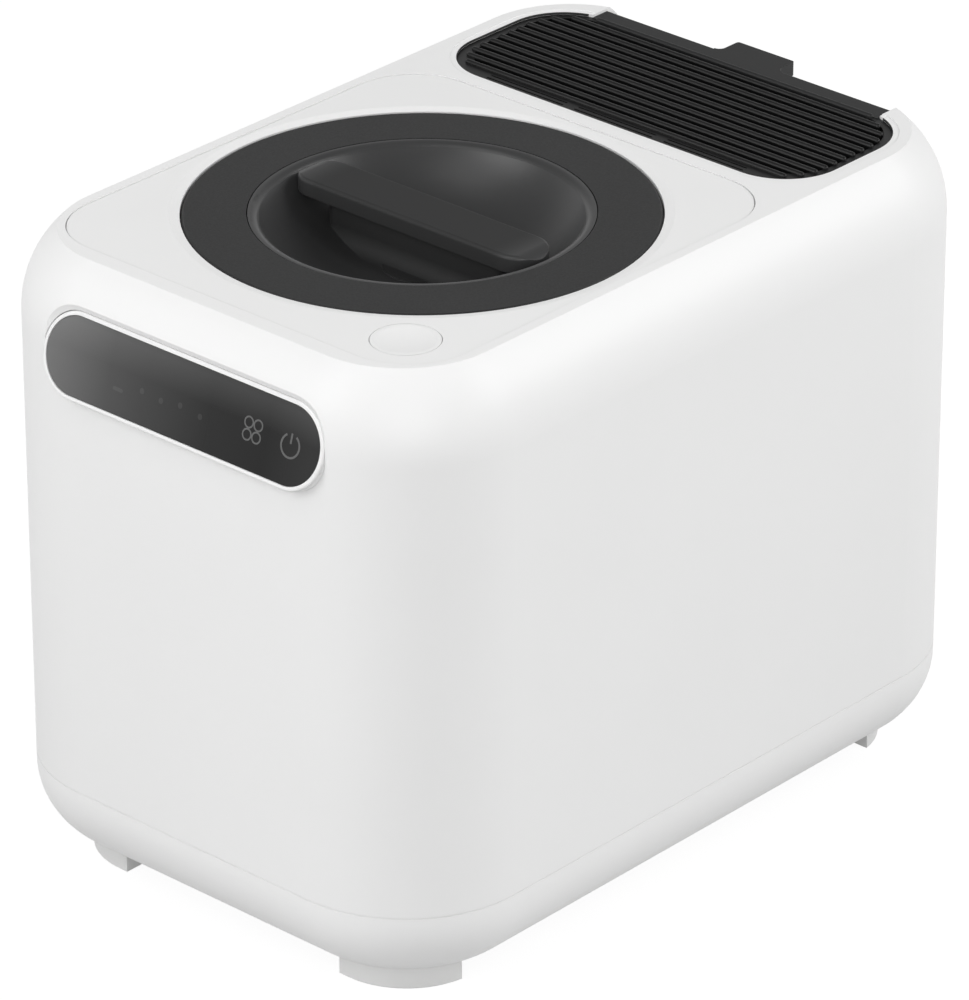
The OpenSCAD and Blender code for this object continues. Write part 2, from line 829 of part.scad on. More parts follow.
module output_gear() {
    color("lightgray") on_lid_axis() difference() {
        union() {
            slab(layer_z[0], layer_z[0] + layer_h[0]) gear_2d(output_teeth, stage_m[0]);
            rod(11, layer_z[0], box_top - 1.5);
        }
        rod(output_r, layer_z[0] - 1, box_top + 1);
        for (a = [0:60:300]) rotate([0, 0, a]) translate([27, 0, 0])
            rod(8, layer_z[0] - 1, layer_z[0] + layer_h[0] + 1);
    }
}

module relay_gear_low() {
    color("lightgray") in_body() at(low_axis) difference() {
        union() {
            gear_layer(0, relay_small, low_turn);
            gear_layer(1, relay_low_large, 0);
            rod(8, layer_z[0] + layer_h[0], box_top - 1.8);
        }
        rod(pin_r + run, layer_z[0] - 1, box_top);
    }
}

module relay_gear_high() {
    color("lightgray") in_body() at(high_axis) difference() {
        union() {
            rod(6.5, layer_z[0], layer_z[1] + 0.5);
            gear_layer(1, relay_small, high_turn);
            gear_layer(2, relay_high_large, 0);
            rod(8, layer_z[1] + layer_h[1], layer_z[2] + 0.5);
        }
        rod(pin_r + run, layer_z[0] - 1, box_top);
    }
}

module drive_motor() {
    color("silver") in_body() at(motor_axis) difference() {
        union() {
            rod(motor_r, motor_z, motor_z + motor_h);
            rod(8.8, motor_z - box_t, motor_z + 1);
            rod(9, motor_z + motor_h - 1, motor_z + motor_h + 5);
            for (s = [-1, 1]) translate([s * 15, 0, 0])
                slab(motor_z + motor_h - 1, motor_z + motor_h + 7) square([1, 6], center = true);
        }
        rod(motor_shaft_r + run, motor_z - 5, motor_z + 40);
        for (a = [0, 180]) rotate([0, 0, a]) translate([17, 0, 0]) rod(1.7, motor_z - 1, motor_z + 6);
    }
}

module motor_shaft() {
    color("silver") in_body() at(motor_axis) rod(motor_shaft_r, layer_z[2] + 0.2, motor_z + 39);
}

module motor_pinion() {
    color("goldenrod") in_body() at(motor_axis) difference() {
        gear_layer(2, pinion_teeth, pinion_turn);
        rod(motor_shaft_r, layer_z[2] - 1, box_top);
    }
}

// Pan-head screw with its head up, pointing down from z
module screw(z, length, shank_r) {
    rod(shank_r, z - length, z + 0.1);
    difference() {
        rod(shank_r * 1.85, z, z + shank_r * 1.3);
        for (a = [0, 90]) rotate([0, 0, a])
            translate([0, 0, z + shank_r * 1.3]) cube([shank_r * 2, 0.6, 1.6], center = true);
    }
}

module gearbox_screws() {
    color("silver") in_body() for (p = cover_screws()) at(p) screw(box_top + box_t, 8, 1.5);
}

// Scroll of the blower as four quarter arcs, with its outlet going up
module scroll_2d(t) {
    g = scroll[0] - scroll[1];
    mirror([0, 1]) {
        for (q = [0:3]) translate(scroll_centre(q, g)) intersection() {
            circle(scroll[q] - t);
            rotate(90 * q) square(scroll[0] + 1);
        }
        translate([-g, 0]) square([g + 1, g + 1]);
    }
    outlet_h = bay_z - blower_z;
    translate([scroll[3] - 2 * g - 4 + t, -1]) square([scroll[0] - scroll[3] + 2 * g + 4 - 2 * t, outlet_h + 1]);
}

function scroll_centre(q, g) = q == 0 ? [0, 0] : q == 1 ? [0, g] : q == 2 ? [-g, g] : [-g, 0];

module on_blower(y) {
    in_body() translate([blower_x, y, blower_z]) rotate([90, 0, 0]) children();
}

module blower_housing() {
    color("#303235") on_blower(blower_y0 + blower_d) difference() {
        slab(0, blower_d - 2) scroll_2d(0);
        slab(2, blower_d) scroll_2d(2);
        rod(2.5 + run, -1, 3);
    }
}

module blower_cover() {
    color("#303235") on_blower(blower_y0 + 2) difference() {
        slab(0, 2) scroll_2d(0);
        rod(inlet_r, -1, 3);
    }
}

module blower_motor() {
    color("silver") on_blower(blower_y0 + blower_d + 16) {
        difference() {
            rod(13, 0, 16);
            rod(2 + run, 8, 17);
        }
    }
}

module impeller() {
    blades = 14;
    z0 = 4;
    z1 = blower_d - 4.5;
    color("#202124") on_blower(blower_y0 + blower_d) difference() {
        union() {
            rod(impeller_r, z0, z0 + 1.4);
            rod(6, z0, z1 - 3);
            for (i = [0:blades - 1]) rotate([0, 0, 360 * i / blades])
                slab(z0 + 1, z1) blade_2d();
            tube(impeller_r, impeller_r - 2, z1 - 1.2, z1);
            rod(2, -7, z1 - 3);
        }
    }
}

// One backward-curved blade
module blade_2d() {
    outer = [for (i = [0:4]) polar(9 + (impeller_r - 9.5) * i / 4, -9 * i)];
    inner = [for (i = [4:-1:0]) polar(9 + (impeller_r - 9.5) * i / 4, -9 * i - 7 + i)];
    polygon(concat(outer, inner));
}

// Duct from the chamber's rear window down to the blower's inlet
module air_duct() {
    y0 = lid_y + liner_r + liner_t + fit;
    y1 = bay_y0 - fit;
    z1 = port_z + port_h;
    x1 = port_w / 2;
    color("#303235") in_body() difference() {
        union() {
            duct_run(0, y0 - 6, y1, z1, x1);
            translate([blower_x, blower_y0 - 0.1, blower_z]) rotate([90, 0, 0])
                cylinder(r = inlet_r + 2, h = blower_y0 - y1 + 1);
        }
        duct_run(duct_t, y0 + duct_t, y1 - duct_t, z1, x1);
        at(lid_axis) rod(liner_r + liner_t + fit, blower_z - 40, z1 + 1);
        translate([-x1 + duct_t, y0 - 10, port_z + duct_t])
            cube([port_w - 2 * duct_t, 14, port_h - 2 * duct_t]);
        translate([blower_x, blower_y0 + 1, blower_z]) rotate([90, 0, 0])
            cylinder(r = inlet_r, h = blower_y0 - y1 + 4);
    }
}

// L-shaped run, t inside its outer faces: across at the window, then down to the inlet
duct_t = 1.8;
module duct_run(t, y0, y1, z1, x1) {
    x0 = blower_x - inlet_r - 4;
    z0 = blower_z - inlet_r - 4;
    translate([x0 + t, y0, port_z - 8 + t]) cube([x1 - x0 - 2 * t, y1 - y0, z1 - port_z + 8 - 2 * t]);
    translate([x0 + t, y0, z0 + t]) cube([2 * inlet_r + 8 - 2 * t, y1 - y0, z1 - z0 - 2 * t]);
}

module bay_plan(out) {
    rounded_2d(bay_hw + out, bay_y0 - out, bay_y1 + out, bay_corner + out);
}

// Open-topped well that holds the filter
module filter_bay() {
    top = vent_top - vent_t - 2.6;
    port = [scroll[3] - 2 * 3 - 4, scroll[0]];
    color("#303235") in_body() difference() {
        union() {
            slab(bay_z, top) bay_plan(0);
            slab(top - 2, top) bay_plan(3);
        }
        slab(bay_z + bay_wall, top + 1) bay_plan(-bay_wall);
        translate([blower_x + port[0] + 2, blower_y0 + 4, bay_z - 1])
            cube([port[1] - port[0] - 4, blower_d - 6, 5]);
    }
}

tray_z = bay_z + bay_wall + 12;
tray_top = vent_top - vent_t;
pack_z = tray_z + 2.4;
foam_z = tray_top - 11;

module filter_tray() {
    color("#3a3c3f") in_body() difference() {
        slab(tray_z, tray_top) bay_plan(-bay_wall - 0.8);
        slab(pack_z, tray_top + 1) bay_plan(-bay_wall - 2.4);
        for (i = [-6:6]) translate([i * 12 - 4, bay_y0 + 10, tray_z - 1])
            cube([8, bay_y1 - bay_y0 - 20, 5]);
    }
    color("#3a3c3f") in_body() for (x = [-50, 50])
        slab(bay_z + bay_wall + 0.1, tray_z + 1) translate([x, (bay_y0 + bay_y1) / 2])
            square([30, 3], center = true);
}

module carbon_pack() {
    color("#151515") in_body() slab(pack_z, foam_z - 0.2) bay_plan(-bay_wall - 2.8);
}

module prefilter_foam() {
    color("#1c1c1e") in_body() slab(foam_z, foam_z + 6) bay_plan(-bay_wall - 2.8);
}

// Cover of the filter: frame, cross ribs, rear strip with its skirt, finger tab
module vent_cover() {
    color("#2b2c2e") in_body() {
        difference() {
            slab(vent_top - vent_t, vent_top) vent_outline(0);
            slab(vent_top - vent_t - 1, vent_top + 1) vent_opening();
            front_slots();
        }
        for (i = [0:rib_count - 1]) cross_rib(rib_y(i));
        for (x = [-60, -20, 20, 60]) translate([x - 1.2, vent_y0 + 6, vent_top - vent_t])
            cube([2.4, vent_len - 8, 1.6]);
        rear_strip();
        finger_tab();
    }
}

rib_top = total_h;
rib_count = floor((vent_len - lip_l - 1) / rib_pitch) + 1;
function rib_y(i) = vent_y0 + lip_l + i * rib_pitch;
strip_y0 = rib_y(rib_count - 1);
strip_y1 = strip_y0 + strip_l;

// Ribbed opening inside the frame
module vent_opening() {
    rounded_2d(vent_hw - frame_w, vent_y0 + lip_l - rib_w / 2, strip_y0 - rib_w / 2,
        vent_corner - frame_w);
}

// Three long shallow slots in the front lip, in two rows
module front_slots() {
    slot_l = (2 * vent_hw - 2 * vent_corner - 16) / 3;
    for (i = [-1:1], row = [0, 1]) translate([i * (slot_l + 6), vent_y0 + 3.4 + 2.6 * row, 0])
        slab(vent_top - 0.8, vent_top + 1) stadium_2d(slot_l / 2, 0.45);
}

// Half-length of the rib at depth y, following the rounded outline
function rib_half(y) = let (
    r = vent_corner - frame_w + 0.6,
    front = vent_y0 + vent_corner - y,
    back = y - (vent_y1 - vent_corner),
    d = max(0, front, back))
    vent_hw - vent_corner + chord(r, min(d, r - 0.3));

module cross_rib(y) {
    r = rib_w / 2;
    translate([0, y, rib_top]) stadium_sweep(rib_half(y) - r) {
        intersection() {
            translate([0, -r]) circle(r);
            translate([0, -2 * r]) square(2 * r);
        }
        translate([0, -vent_t - 1]) square([r, vent_t + 1 - r]);
    }
}

// Flat strip behind the ribs, and the skirt that closes the front of the finger well
module rear_strip() {
    soft = 1;
    skirt_t = 2.2;
    skirt_z = strip_z + fit;
    rotate([90, 0, 90]) translate([0, 0, -strip_w / 2]) linear_extrude(strip_w) {
        translate([strip_y0, strip_top - strip_t]) square([strip_l - soft, strip_t]);
        translate([strip_y1 - skirt_t, skirt_z]) square([skirt_t, strip_top - soft - skirt_z]);
        translate([strip_y1 - soft, strip_top - soft]) circle(soft, $fn = 32);
    }
}

// Tab for two fingers, with rounded corners and filleted roots
module finger_tab() {
    t = 6;
    root = 3;
    soft = 1.2;
    lap = 2;
    hw = tab_w / 2;
    y1 = strip_y1 + tab_l;
    slab(strip_top - t, strip_top) {
        translate([-hw, strip_y1 - lap]) square([tab_w, tab_l + lap - soft]);
        translate([soft - hw, y1 - 2 * soft]) square([tab_w - 2 * soft, 2 * soft]);
        for (s = [-1, 1]) translate([s * (hw - soft), y1 - soft]) circle(soft, $fn = 32);
        difference() {
            translate([-hw - root, strip_y1 - lap]) square([tab_w + 2 * root, root + lap]);
            for (s = [-1, 1]) translate([s * (hw + root), strip_y1 + root]) circle(root);
        }
    }
}

inlet_x = 40;
inlet_z = foot_h + 61.5;
inlet_w = 27.5;
inlet_h = 19.8;
inlet_depth = 22;
module inlet_hole() {
    translate([inlet_x, half_d - wall / 2, inlet_z])
        cube([inlet_w + 0.5, 3 * wall, inlet_h + 0.5], center = true);
}

// Recessed appliance inlet with three flat pins
module power_inlet() {
    color("#202124") in_body() translate([inlet_x, half_d, inlet_z]) difference() {
        union() {
            translate([0, -inlet_depth / 2, 0]) cube([inlet_w, inlet_depth, inlet_h], center = true);
            translate([0, -wall - 1, 0]) cube([inlet_w + 14, 2, inlet_h + 4], center = true);
        }
        translate([0, -8.4, 0]) difference() {
            cube([24, 17, 16.4], center = true);
            for (x = [-1, 1]) translate([x * 12.5, 0, 8.7])
                rotate([0, 45, 0]) cube([4.6, 20, 4.6], center = true);
        }
    }
    color("silver") in_body() translate([inlet_x, half_d - 9, inlet_z])
        for (p = [[-7, -2], [0, 2], [7, -2]]) translate([p[0], -3, p[1]])
            cube([2, 14, 4], center = true);
}

module power_board() {
    w = 96;
    h = 70;
    z = inlet_z + 26;
    y = half_d - wall - 16;
    color("darkgreen") in_body() translate([10, y, z]) {
        translate([-w / 2, 0, 0]) cube([w, 1.6, h]);
        for (x = [-40, 40], k = [8, h - 8]) translate([x, 1, k])
            rotate([-90, 0, 0]) cylinder(r = 3, h = 15);
    }
    color("dimgray") in_body() translate([10, y, z]) {
        translate([-38, -18, 10]) cube([26, 18.5, 30]);
        translate([-4, -14, 12]) cube([16, 14.5, 18]);
        for (x = [22, 36]) translate([x, 0.5, 24]) rotate([90, 0, 0]) cylinder(r = 5.5, h = 20);
        translate([-38, -9, 48]) cube([50, 9.5, 12]);
        translate([18, -11, 46]) cube([20, 11.5, 14]);
    }
}

module lid_sensor() {
    color("dimgray") on_lid_axis() rotate([0, 0, 270]) {
        translate([mouth_r + 2.6, -7, seat_z - 16]) cube([5, 14, 10]);
        translate([mouth_r + 4, -2, seat_z - 21]) cube([2, 4, 6]);
    }
}

// Fixed part of the lid: ring, seat edge and skirt with three bolt windows
module lid_ring() {
    lip_r = dish_r + 0.4;
    color("#2e2f31") on_lid_axis() {
        difference() {
            union() {
                tube(lid_r, lip_r, lid_top - 3, lid_top);
                tube(lid_r, lid_r - 2.2, seat_z, lid_top - 1);
                tube(skirt_r, skirt_r - 2.5, lid_base_z + lid_base_t, lid_top - 1);
                for (i = [0:2]) rotate([0, 0, bolt_angle(i)]) bolt_guide();
                for (i = [0:5]) rotate([0, 0, 60 * i]) translate([skirt_r - 6, 0, 0])
                    rod(4, lid_base_z + lid_base_t, lid_top - 1);
            }
            for (i = [0:2]) rotate([0, 0, bolt_angle(i)])
                translate([bolt_in, -bolt_w / 2 - fit / 2, bolt_z - fit / 2])
                    cube([50, bolt_w + fit, bolt_h + fit]);
            for (i = [0:5]) rotate([0, 0, 60 * i]) translate([skirt_r - 6, 0, 0])
                rod(1.3, lid_base_z, lid_base_z + lid_base_t + 14);
            rotate_extrude() translate([lid_r, lid_top]) rotate(45) square(1.4, center = true);
        }
    }
}

// Channel that guides one bolt, hung from the ring
module bolt_guide() {
    w = bolt_w + 6;
    translate([bolt_out - 12, -w / 2, bolt_z - 1.6]) cube([12, w, bolt_h + 3.6]);
    for (s = [-1, 1]) translate([bolt_out - 8, s * (w / 2 - 1) - 1, bolt_z])
        cube([4, 2, lid_top - 1 - bolt_z]);
}

// Turning dish with its grip bar
module lid_knob() {
    web_l = bar_l - 29.5;
    web_w = 11;
    color("#2e2f31") on_lid_axis() {
        rotate_extrude() difference() {
            union() {
                dish_profile(dish_t);
                translate([dish_r - 8, lid_top - 4.5]) square([8, 4.4]);
                translate([dish_r - 3, lid_top - 5.2]) square([6, 1.8]);
            }
            dish_profile(0);
            dish_lip_cut();
        }
        rod(16, dish_floor - dish_t, dish_floor + 0.5);
        intersection() {
            translate([0, 0, total_h]) stadium_sweep(bar_l / 2 - bar_w / 2) bar_profile();
            bar_ends();
        }
        intersection() {
            translate([0, 0, dish_floor]) stadium_sweep(web_l / 2 - web_w / 2)
                web_profile(web_w / 2);
            rotate_extrude() dish_profile(dish_t / 2);
        }
    }
}

// Bowl section, grown by t below and beside the hollow
module dish_profile(t) {
    translate([0, dish_floor - t]) square([dish_flat, dish_depth + t + (t > 0 ? -1 : 1)]);
    intersection() {
        translate([dish_flat, dish_floor + bowl_r]) circle(bowl_r + t, $fn = 180);
        translate([dish_flat - 0.5, dish_floor - t]) square([dish_r, dish_depth + t + (t > 0 ? -1 : 1)]);
    }
}

// What the rolled rim leaves open above the bowl
module dish_lip_cut() {
    touch_z = dish_floor + bowl_r + bowl_r * (dish_depth - dish_lip - bowl_r) / (bowl_r + dish_lip);
    difference() {
        translate([0, touch_z]) square([lip_x, lid_top + 1 - touch_z]);
        translate([lip_x, lid_top - dish_lip - 0.1]) circle(dish_lip);
    }
}

module bar_profile() {
    hw = bar_w / 2;
    soft = 1.6;
    translate([0, -bar_t]) square([hw - soft, bar_t]);
    translate([0, -bar_t]) square([hw, bar_t - soft]);
    translate([hw - soft, -soft]) circle(soft);
}

// The top of the bar drops towards both ends
module bar_ends() {
    drop_r = 9;
    in = 6;
    rotate([90, 0, 0]) linear_extrude(bar_w + 2, center = true) {
        translate([-bar_l / 2 + in, total_h - bar_t - 1]) square([bar_l - 2 * in, bar_t + 1]);
        for (s = [-1, 1]) intersection() {
            translate([s * (bar_l / 2 - in), total_h - drop_r]) circle(drop_r);
            translate([s * bar_l / 2 - bar_w / 2, total_h - bar_t - 1]) square([bar_w, bar_t + 1]);
        }
    }
}

// Web under the bar, flaring into the dish
module web_profile(hw) {
    flare = 7;
    top = total_h - bar_t - dish_floor + 0.5;
    translate([0, -1]) square([hw, top + 1]);
    difference() {
        translate([hw - 0.5, -1]) square([flare + 0.5, flare + 1]);
        translate([hw + flare, flare]) circle(flare);
    }
}

// Spiral slot: its middle line runs in as the dish turns, to draw the bolt pin out
slot_rate = bolt_travel / knob_turn;
module cam_slot_2d() {
    half = bolt_pin_r + 0.35;
    first = -3;
    last = knob_turn + 3;
    steps = 16;
    function at_turn(a, off) = polar(bolt_pin_x + slot_rate * a + off, -a);
    polygon(concat(
        [for (i = [0:steps]) at_turn(first + (last - first) * i / steps, half)],
        [for (i = [steps:-1:0]) at_turn(first + (last - first) * i / steps, -half)]));
}

module lid_cam() {
    color("silver") on_lid_axis() difference() {
        rod(cam_r, cam_z, cam_z + cam_t);
        for (i = [0:2]) rotate([0, 0, bolt_angle(i)]) slab(cam_z - 1, cam_z + cam_t + 1) cam_slot_2d();
        for (a = [0:120:240]) rotate([0, 0, a]) translate([34, 0, 0])
            rod(9, cam_z - 1, cam_z + cam_t + 1);
    }
}

// Radial bolt with a bevelled nose and a pin down into its cam slot
module lock_bolt(i) {
    color("gainsboro") on_lid_axis() rotate([0, 0, bolt_angle(i)]) {
        translate([0, 0, bolt_z]) linear_extrude(bolt_h) difference() {
            translate([bolt_in, -bolt_w / 2]) square([bolt_out - bolt_in, bolt_w]);
            for (s = [-1, 1]) translate([bolt_out, s * bolt_w / 2]) rotate(45) square(3, center = true);
        }
        translate([bolt_pin_x, 0, 0]) rod(bolt_pin_r, cam_z + 0.3, bolt_z + 1);
    }
}

module lid_bolt_1() { lock_bolt(0); }
module lid_bolt_2() { lock_bolt(1); }
module lid_bolt_3() { lock_bolt(2); }

module lid_bottom() {
    color("#2e2f31") on_lid_axis() difference() {
        union() {
            rod(skirt_r, lid_base_z, lid_base_z + lid_base_t);
            tube(12, 8, lid_base_z, cam_z);
        }
        for (i = [0:5]) rotate([0, 0, 60 * i]) translate([skirt_r - 6, 0, 0]) {
            rod(1.4, lid_base_z - 1, cam_z);
            rod(2.8, lid_base_z - 1, lid_base_z + 2);
        }
        tube(skirt_r - 2, skirt_r - 10.6, lid_base_z - 1, lid_base_z + 0.8);
    }
}

module lid_gasket() {
    r1 = skirt_r - 2;
    z = lid_base_z + 0.8;
    color("#c9cdd2") on_lid_axis() rotate_extrude() polygon([
        [r1 - 8.6, z], [r1, z], [r1, z - 2], [r1 - 0.8, z - 2], [r1 - 2.2, gasket_z],
        [r1 - 5, gasket_z], [r1 - 6.5, z - 2], [r1 - 8.6, z - 2]]);
}

module lid_screws() {
    color("silver") on_lid_axis() for (i = [0:5]) rotate([0, 0, 60 * i])
        translate([skirt_r - 6, 0, 0]) {
            rod(2.5, lid_base_z + 0.9, lid_base_z + 2);
            rod(1.25, lid_base_z + 1.9, lid_base_z + lid_base_t + 10);
        }
}

// Lift-out bucket with a rolled flange, vents and a centre boss for the rotor
module bucket() {
    foot_r = bucket_r - bucket_taper;
    boss_top = heater_z + 26;
    color("silver") on_lid_axis() difference() {
        union() {
            rotate_extrude() {
                polygon([[0, heater_z], [foot_r, heater_z], [bucket_r, bucket_top - 12],
                    [bucket_r, bucket_top], [bucket_r - bucket_wall, bucket_top],
                    [bucket_r - bucket_wall, bucket_top - 12],
                    [foot_r - bucket_wall, heater_z + bucket_wall], [0, heater_z + bucket_wall]]);
                translate([bucket_r - 1, bucket_top - flange_t])
                    square([flange_r - bucket_r + 1, flange_t]);
            }
            rod(15, heater_z, boss_top);
            for (s = [-1, 1]) translate([s * (bucket_r - 3.2), 0, bail_z]) rotate([0, 90, 0])
                cylinder(r = 5, h = 3, center = true);
        }
        rod(shaft_r + run, heater_z - 1, boss_top + 1);
        rod(10, boss_top - 6, boss_top + 1);
        rod(socket_r + 1, heater_z - 1, heater_z + 3);
        rotate([0, 90, 0]) translate([-bail_z, 0, -100]) cylinder(r = bail_wire + run, h = 200);
        for (a = [22.5:45:360]) rotate([0, 0, a]) translate([bucket_r, 0, bucket_top - 22])
            cube([12, 14, 4], center = true);
    }
}

// Inside radius of the bucket at height z
function bucket_bore(z) = bucket_r - bucket_wall
    - bucket_taper * (bucket_top - 12 - z) / (bucket_top - 12 - heater_z - bucket_wall);

// Fixed cutting fins riveted to the bucket's wall
module bucket_cutters() {
    z = heater_z + 44;
    color("lightgray") on_lid_axis() for (a = [60, 180, 300]) rotate([0, 0, a])
        slab(z, z + 5) intersection() {
            circle(bucket_bore(z) - 0.02);
            polygon([[bucket_r - 24, 0], [bucket_r, -12], [bucket_r, 12]]);
        }
}

module bucket_bail() {
    color("silver") on_lid_axis() translate([0, 0, bail_z]) {
        rotate_extrude(angle = 180) translate([bail_r, 0]) circle(bail_wire);
        for (s = [0, 180]) rotate([0, 0, s]) {
            translate([bail_r - 1, 0, 0]) rotate([0, 90, 0])
                cylinder(r = bail_wire, h = bail_pin_end - bail_r + 1);
            translate([bail_r, 0, 0]) sphere(bail_wire);
        }
    }
}

module bail_grip() {
    color("#3a3c3f") on_lid_axis() translate([0, 0, bail_z]) rotate([0, 0, 62])
        rotate_extrude(angle = 56) translate([bail_r, 0]) difference() {
            circle(bail_grip_r);
            circle(bail_wire);
        }
}

rotor_z = heater_z + 26.4;
// Rotor: hub, three long bottom arms and three short upper arms
module mixing_rotor() {
    reach = bucket_r - bucket_taper - bucket_wall - 4;
    color("silver") on_lid_axis() {
        rod(shaft_r, heater_z - 2, rotor_z + 20);
        difference() {
            rod(19, heater_z + 3.5, rotor_z + 24);
            rod(15.6, heater_z + 2, rotor_z);
        }
        rod(12, rotor_z + 23, rotor_z + 30);
        for (i = [0:2]) rotate([0, 0, 120 * i]) {
            slab(heater_z + 3.5, heater_z + 14) arm_2d(reach, 4);
            slab(rotor_z + 12, rotor_z + 21) rotate(60) arm_2d(reach - 22, 3.4);
        }
    }
}

// Curved arm, thick at the hub and thin at the tip
module arm_2d(reach, t) {
    intersection() {
        difference() {
            translate([reach / 2, -reach * 0.55]) circle(reach * 0.75 + t / 2);
            translate([reach / 2, -reach * 0.55 - t / 2]) circle(reach * 0.75 - t / 2);
        }
        difference() {
            circle(reach);
            circle(16.4);
        }
        translate([0, -reach]) square([reach, 2 * reach]);
    }
}

// Hexagonal socket under the bucket that drops over the output shaft
module rotor_coupling() {
    color("dimgray") on_lid_axis() difference() {
        rod(socket_r, heater_z - socket_depth - 1, heater_z + 2.6);
        translate([0, 0, heater_z - socket_depth - 2])
            cylinder(r = hex_r + 0.35, h = socket_depth, $fn = 6);
        rod(shaft_r, heater_z - 2, heater_z + 4);
    }
}

module shaft_seal() {
    color("#3a3c3f") on_lid_axis() tube(10, shaft_r + run, heater_z + 20.2, heater_z + 25.6);
}

module casing_screws() {
    color("silver") in_body() casing_posts() translate([0, 0, screw_seat]) mirror([0, 0, 1])
        screw(0, seam_z - screw_seat + 4, 1.5);
}

outer_casing();
base_tray();
feet();
top_deck();
display_bezel();
display_window();
light_guide();
touch_board();
deck_button();
button_spring();
button_switch();
button_bracket();
chamber_liner();
heater_plate();
thermal_cutout();
gearbox_housing();
gearbox_cover();
gear_pins();
output_bush();
output_shaft();
output_gear();
relay_gear_low();
relay_gear_high();
drive_motor();
motor_shaft();
motor_pinion();
gearbox_screws();
blower_housing();
blower_cover();
impeller();
blower_motor();
air_duct();
filter_bay();
filter_tray();
carbon_pack();
prefilter_foam();
vent_cover();
power_board();
power_inlet();
lid_sensor();
lid_ring();
lid_knob();
lid_cam();
lid_bolt_1();
lid_bolt_2();
lid_bolt_3();
lid_bottom();
lid_gasket();
lid_screws();
bucket();
bucket_cutters();
bucket_bail();
bail_grip();
mixing_rotor();
rotor_coupling();
shaft_seal();
casing_screws();
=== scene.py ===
import bpy
import bmesh
import json
import math
from mathutils import Matrix, Vector, noise as field


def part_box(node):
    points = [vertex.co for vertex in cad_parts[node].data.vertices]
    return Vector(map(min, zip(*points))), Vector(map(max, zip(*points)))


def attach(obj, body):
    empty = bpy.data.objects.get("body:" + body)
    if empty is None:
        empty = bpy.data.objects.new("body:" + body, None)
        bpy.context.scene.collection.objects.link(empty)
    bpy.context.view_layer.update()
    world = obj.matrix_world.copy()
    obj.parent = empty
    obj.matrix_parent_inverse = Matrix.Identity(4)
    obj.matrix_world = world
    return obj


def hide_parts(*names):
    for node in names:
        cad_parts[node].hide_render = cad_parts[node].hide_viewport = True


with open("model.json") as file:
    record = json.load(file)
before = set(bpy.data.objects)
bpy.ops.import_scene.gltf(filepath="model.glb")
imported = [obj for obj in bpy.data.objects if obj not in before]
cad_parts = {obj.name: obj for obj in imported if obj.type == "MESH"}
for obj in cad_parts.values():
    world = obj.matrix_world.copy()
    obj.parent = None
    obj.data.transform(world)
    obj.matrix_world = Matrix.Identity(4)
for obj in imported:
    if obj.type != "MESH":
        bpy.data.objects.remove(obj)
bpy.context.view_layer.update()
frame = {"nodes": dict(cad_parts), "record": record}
nodes = frame["nodes"]
scene = bpy.context.scene
scene.view_settings.view_transform = "Standard"

# Sizes are in metres, except where a comment says millimetres
MM = 0.001

# Casing and lid, from the model
casing_low, casing_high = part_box("outer_casing")
TOP = casing_high[2]
HALF_W = casing_high[0]
HALF_D = (casing_high[1] - casing_low[1]) / 2
MID_Y = (casing_high[1] + casing_low[1]) / 2
ring_low, ring_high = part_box("lid_ring")
LID_Y = (ring_high[1] + ring_low[1]) / 2
CORNER_R = 0.0565

# Camera: bearing, height and roll in degrees, and its place from the middle of the casing's top
CAM_AZ = 42.2375
CAM_EL = 27.1613
CAM_ROLL = -0.0852
CAM_BACK = 2.76568
CAM_RIGHT = -0.002687
CAM_UP = -0.127995
CAM_LENS = 252.0
CAM_SENSOR = 36.0
CAM_CLIP = 60.0

# Studio: strength of the light from all round, tone of the ceiling that gloss mirrors, and the two
# heights, as sines of the elevation, between which the white horizon turns to it
AMBIENT = 0.45
CEILING = 0.3
CEILING_FROM = 0.12
CEILING_TO = 0.5

# Floor: tone of the paper that lights the object from below, the share of a shadow that shows on it,
# the white it comes to, how much of the lamps' light it gets, and so its glow
FLOOR_HALF = 9.0
PAPER = 0.45
SHADOW = 0.12
FLOOR_WHITE = 1.02
FLOOR_LIT = 0.8
GLOW = FLOOR_WHITE - FLOOR_LIT * SHADOW

# Soft boxes: direction from the point they light, distance, width and power in watts
AIM = Vector((0, 0, 0.15))
LAMPS = {
    "soft_box_front": ((-0.324, -0.803, 0.5), 2.4, 1.4, 19.0),
    "soft_box_side": ((0.682, 0.533, 0.5), 2.4, 1.4, 24.5),
    "soft_box_fill": ((0.672, -0.672, 0.309), 2.6, 1.4, 15.5),
    "soft_box_top": ((-0.092, -0.522, 0.848), 2.4, 1.4, 7.0),
}

# Colours of the mouldings that show
SHELL_WHITE = (0.87, 0.87, 0.868)
DECK_WHITE = (0.86, 0.86, 0.857)
FOOT_WHITE = (0.8, 0.8, 0.795)
RING_CHARCOAL = (0.02, 0.0202, 0.0205)
DISH_CHARCOAL = (0.036, 0.0363, 0.0368)
FRAME_CHARCOAL = (0.012, 0.0122, 0.0125)
COVER_CHARCOAL = (0.014, 0.0142, 0.0145)

# The part of its range that a noise mostly keeps to
NOISE_LOW = 0.3
NOISE_HIGH = 0.7

# Moulded plastic: scale and detail of the clouding, and how far the grain varies the roughness
CLOUD_SCALE = 14.0
CLOUD_DETAIL = 3.0
GRAIN_ROUGH = 0.04
GRAIN_STRENGTH = 0.6

# Metal: how much darker, smoother and rougher its streaks get
STREAK_DETAIL = 3.0
STREAK_ROUGHNESS = 0.6
STREAK_DARK = 0.88
STREAK_SMOOTHER = 0.06
STREAK_ROUGHER = 0.08
STREAK_DEPTH = 0.000006
STREAK_STRENGTH = 0.5

# Foam and felt: the painted shade in their pores, as a share of the colour, and the gloss
PORE_SHADE = 0.2
PORE_ROUGH = 0.9
PORE_SPECULAR = 0.2
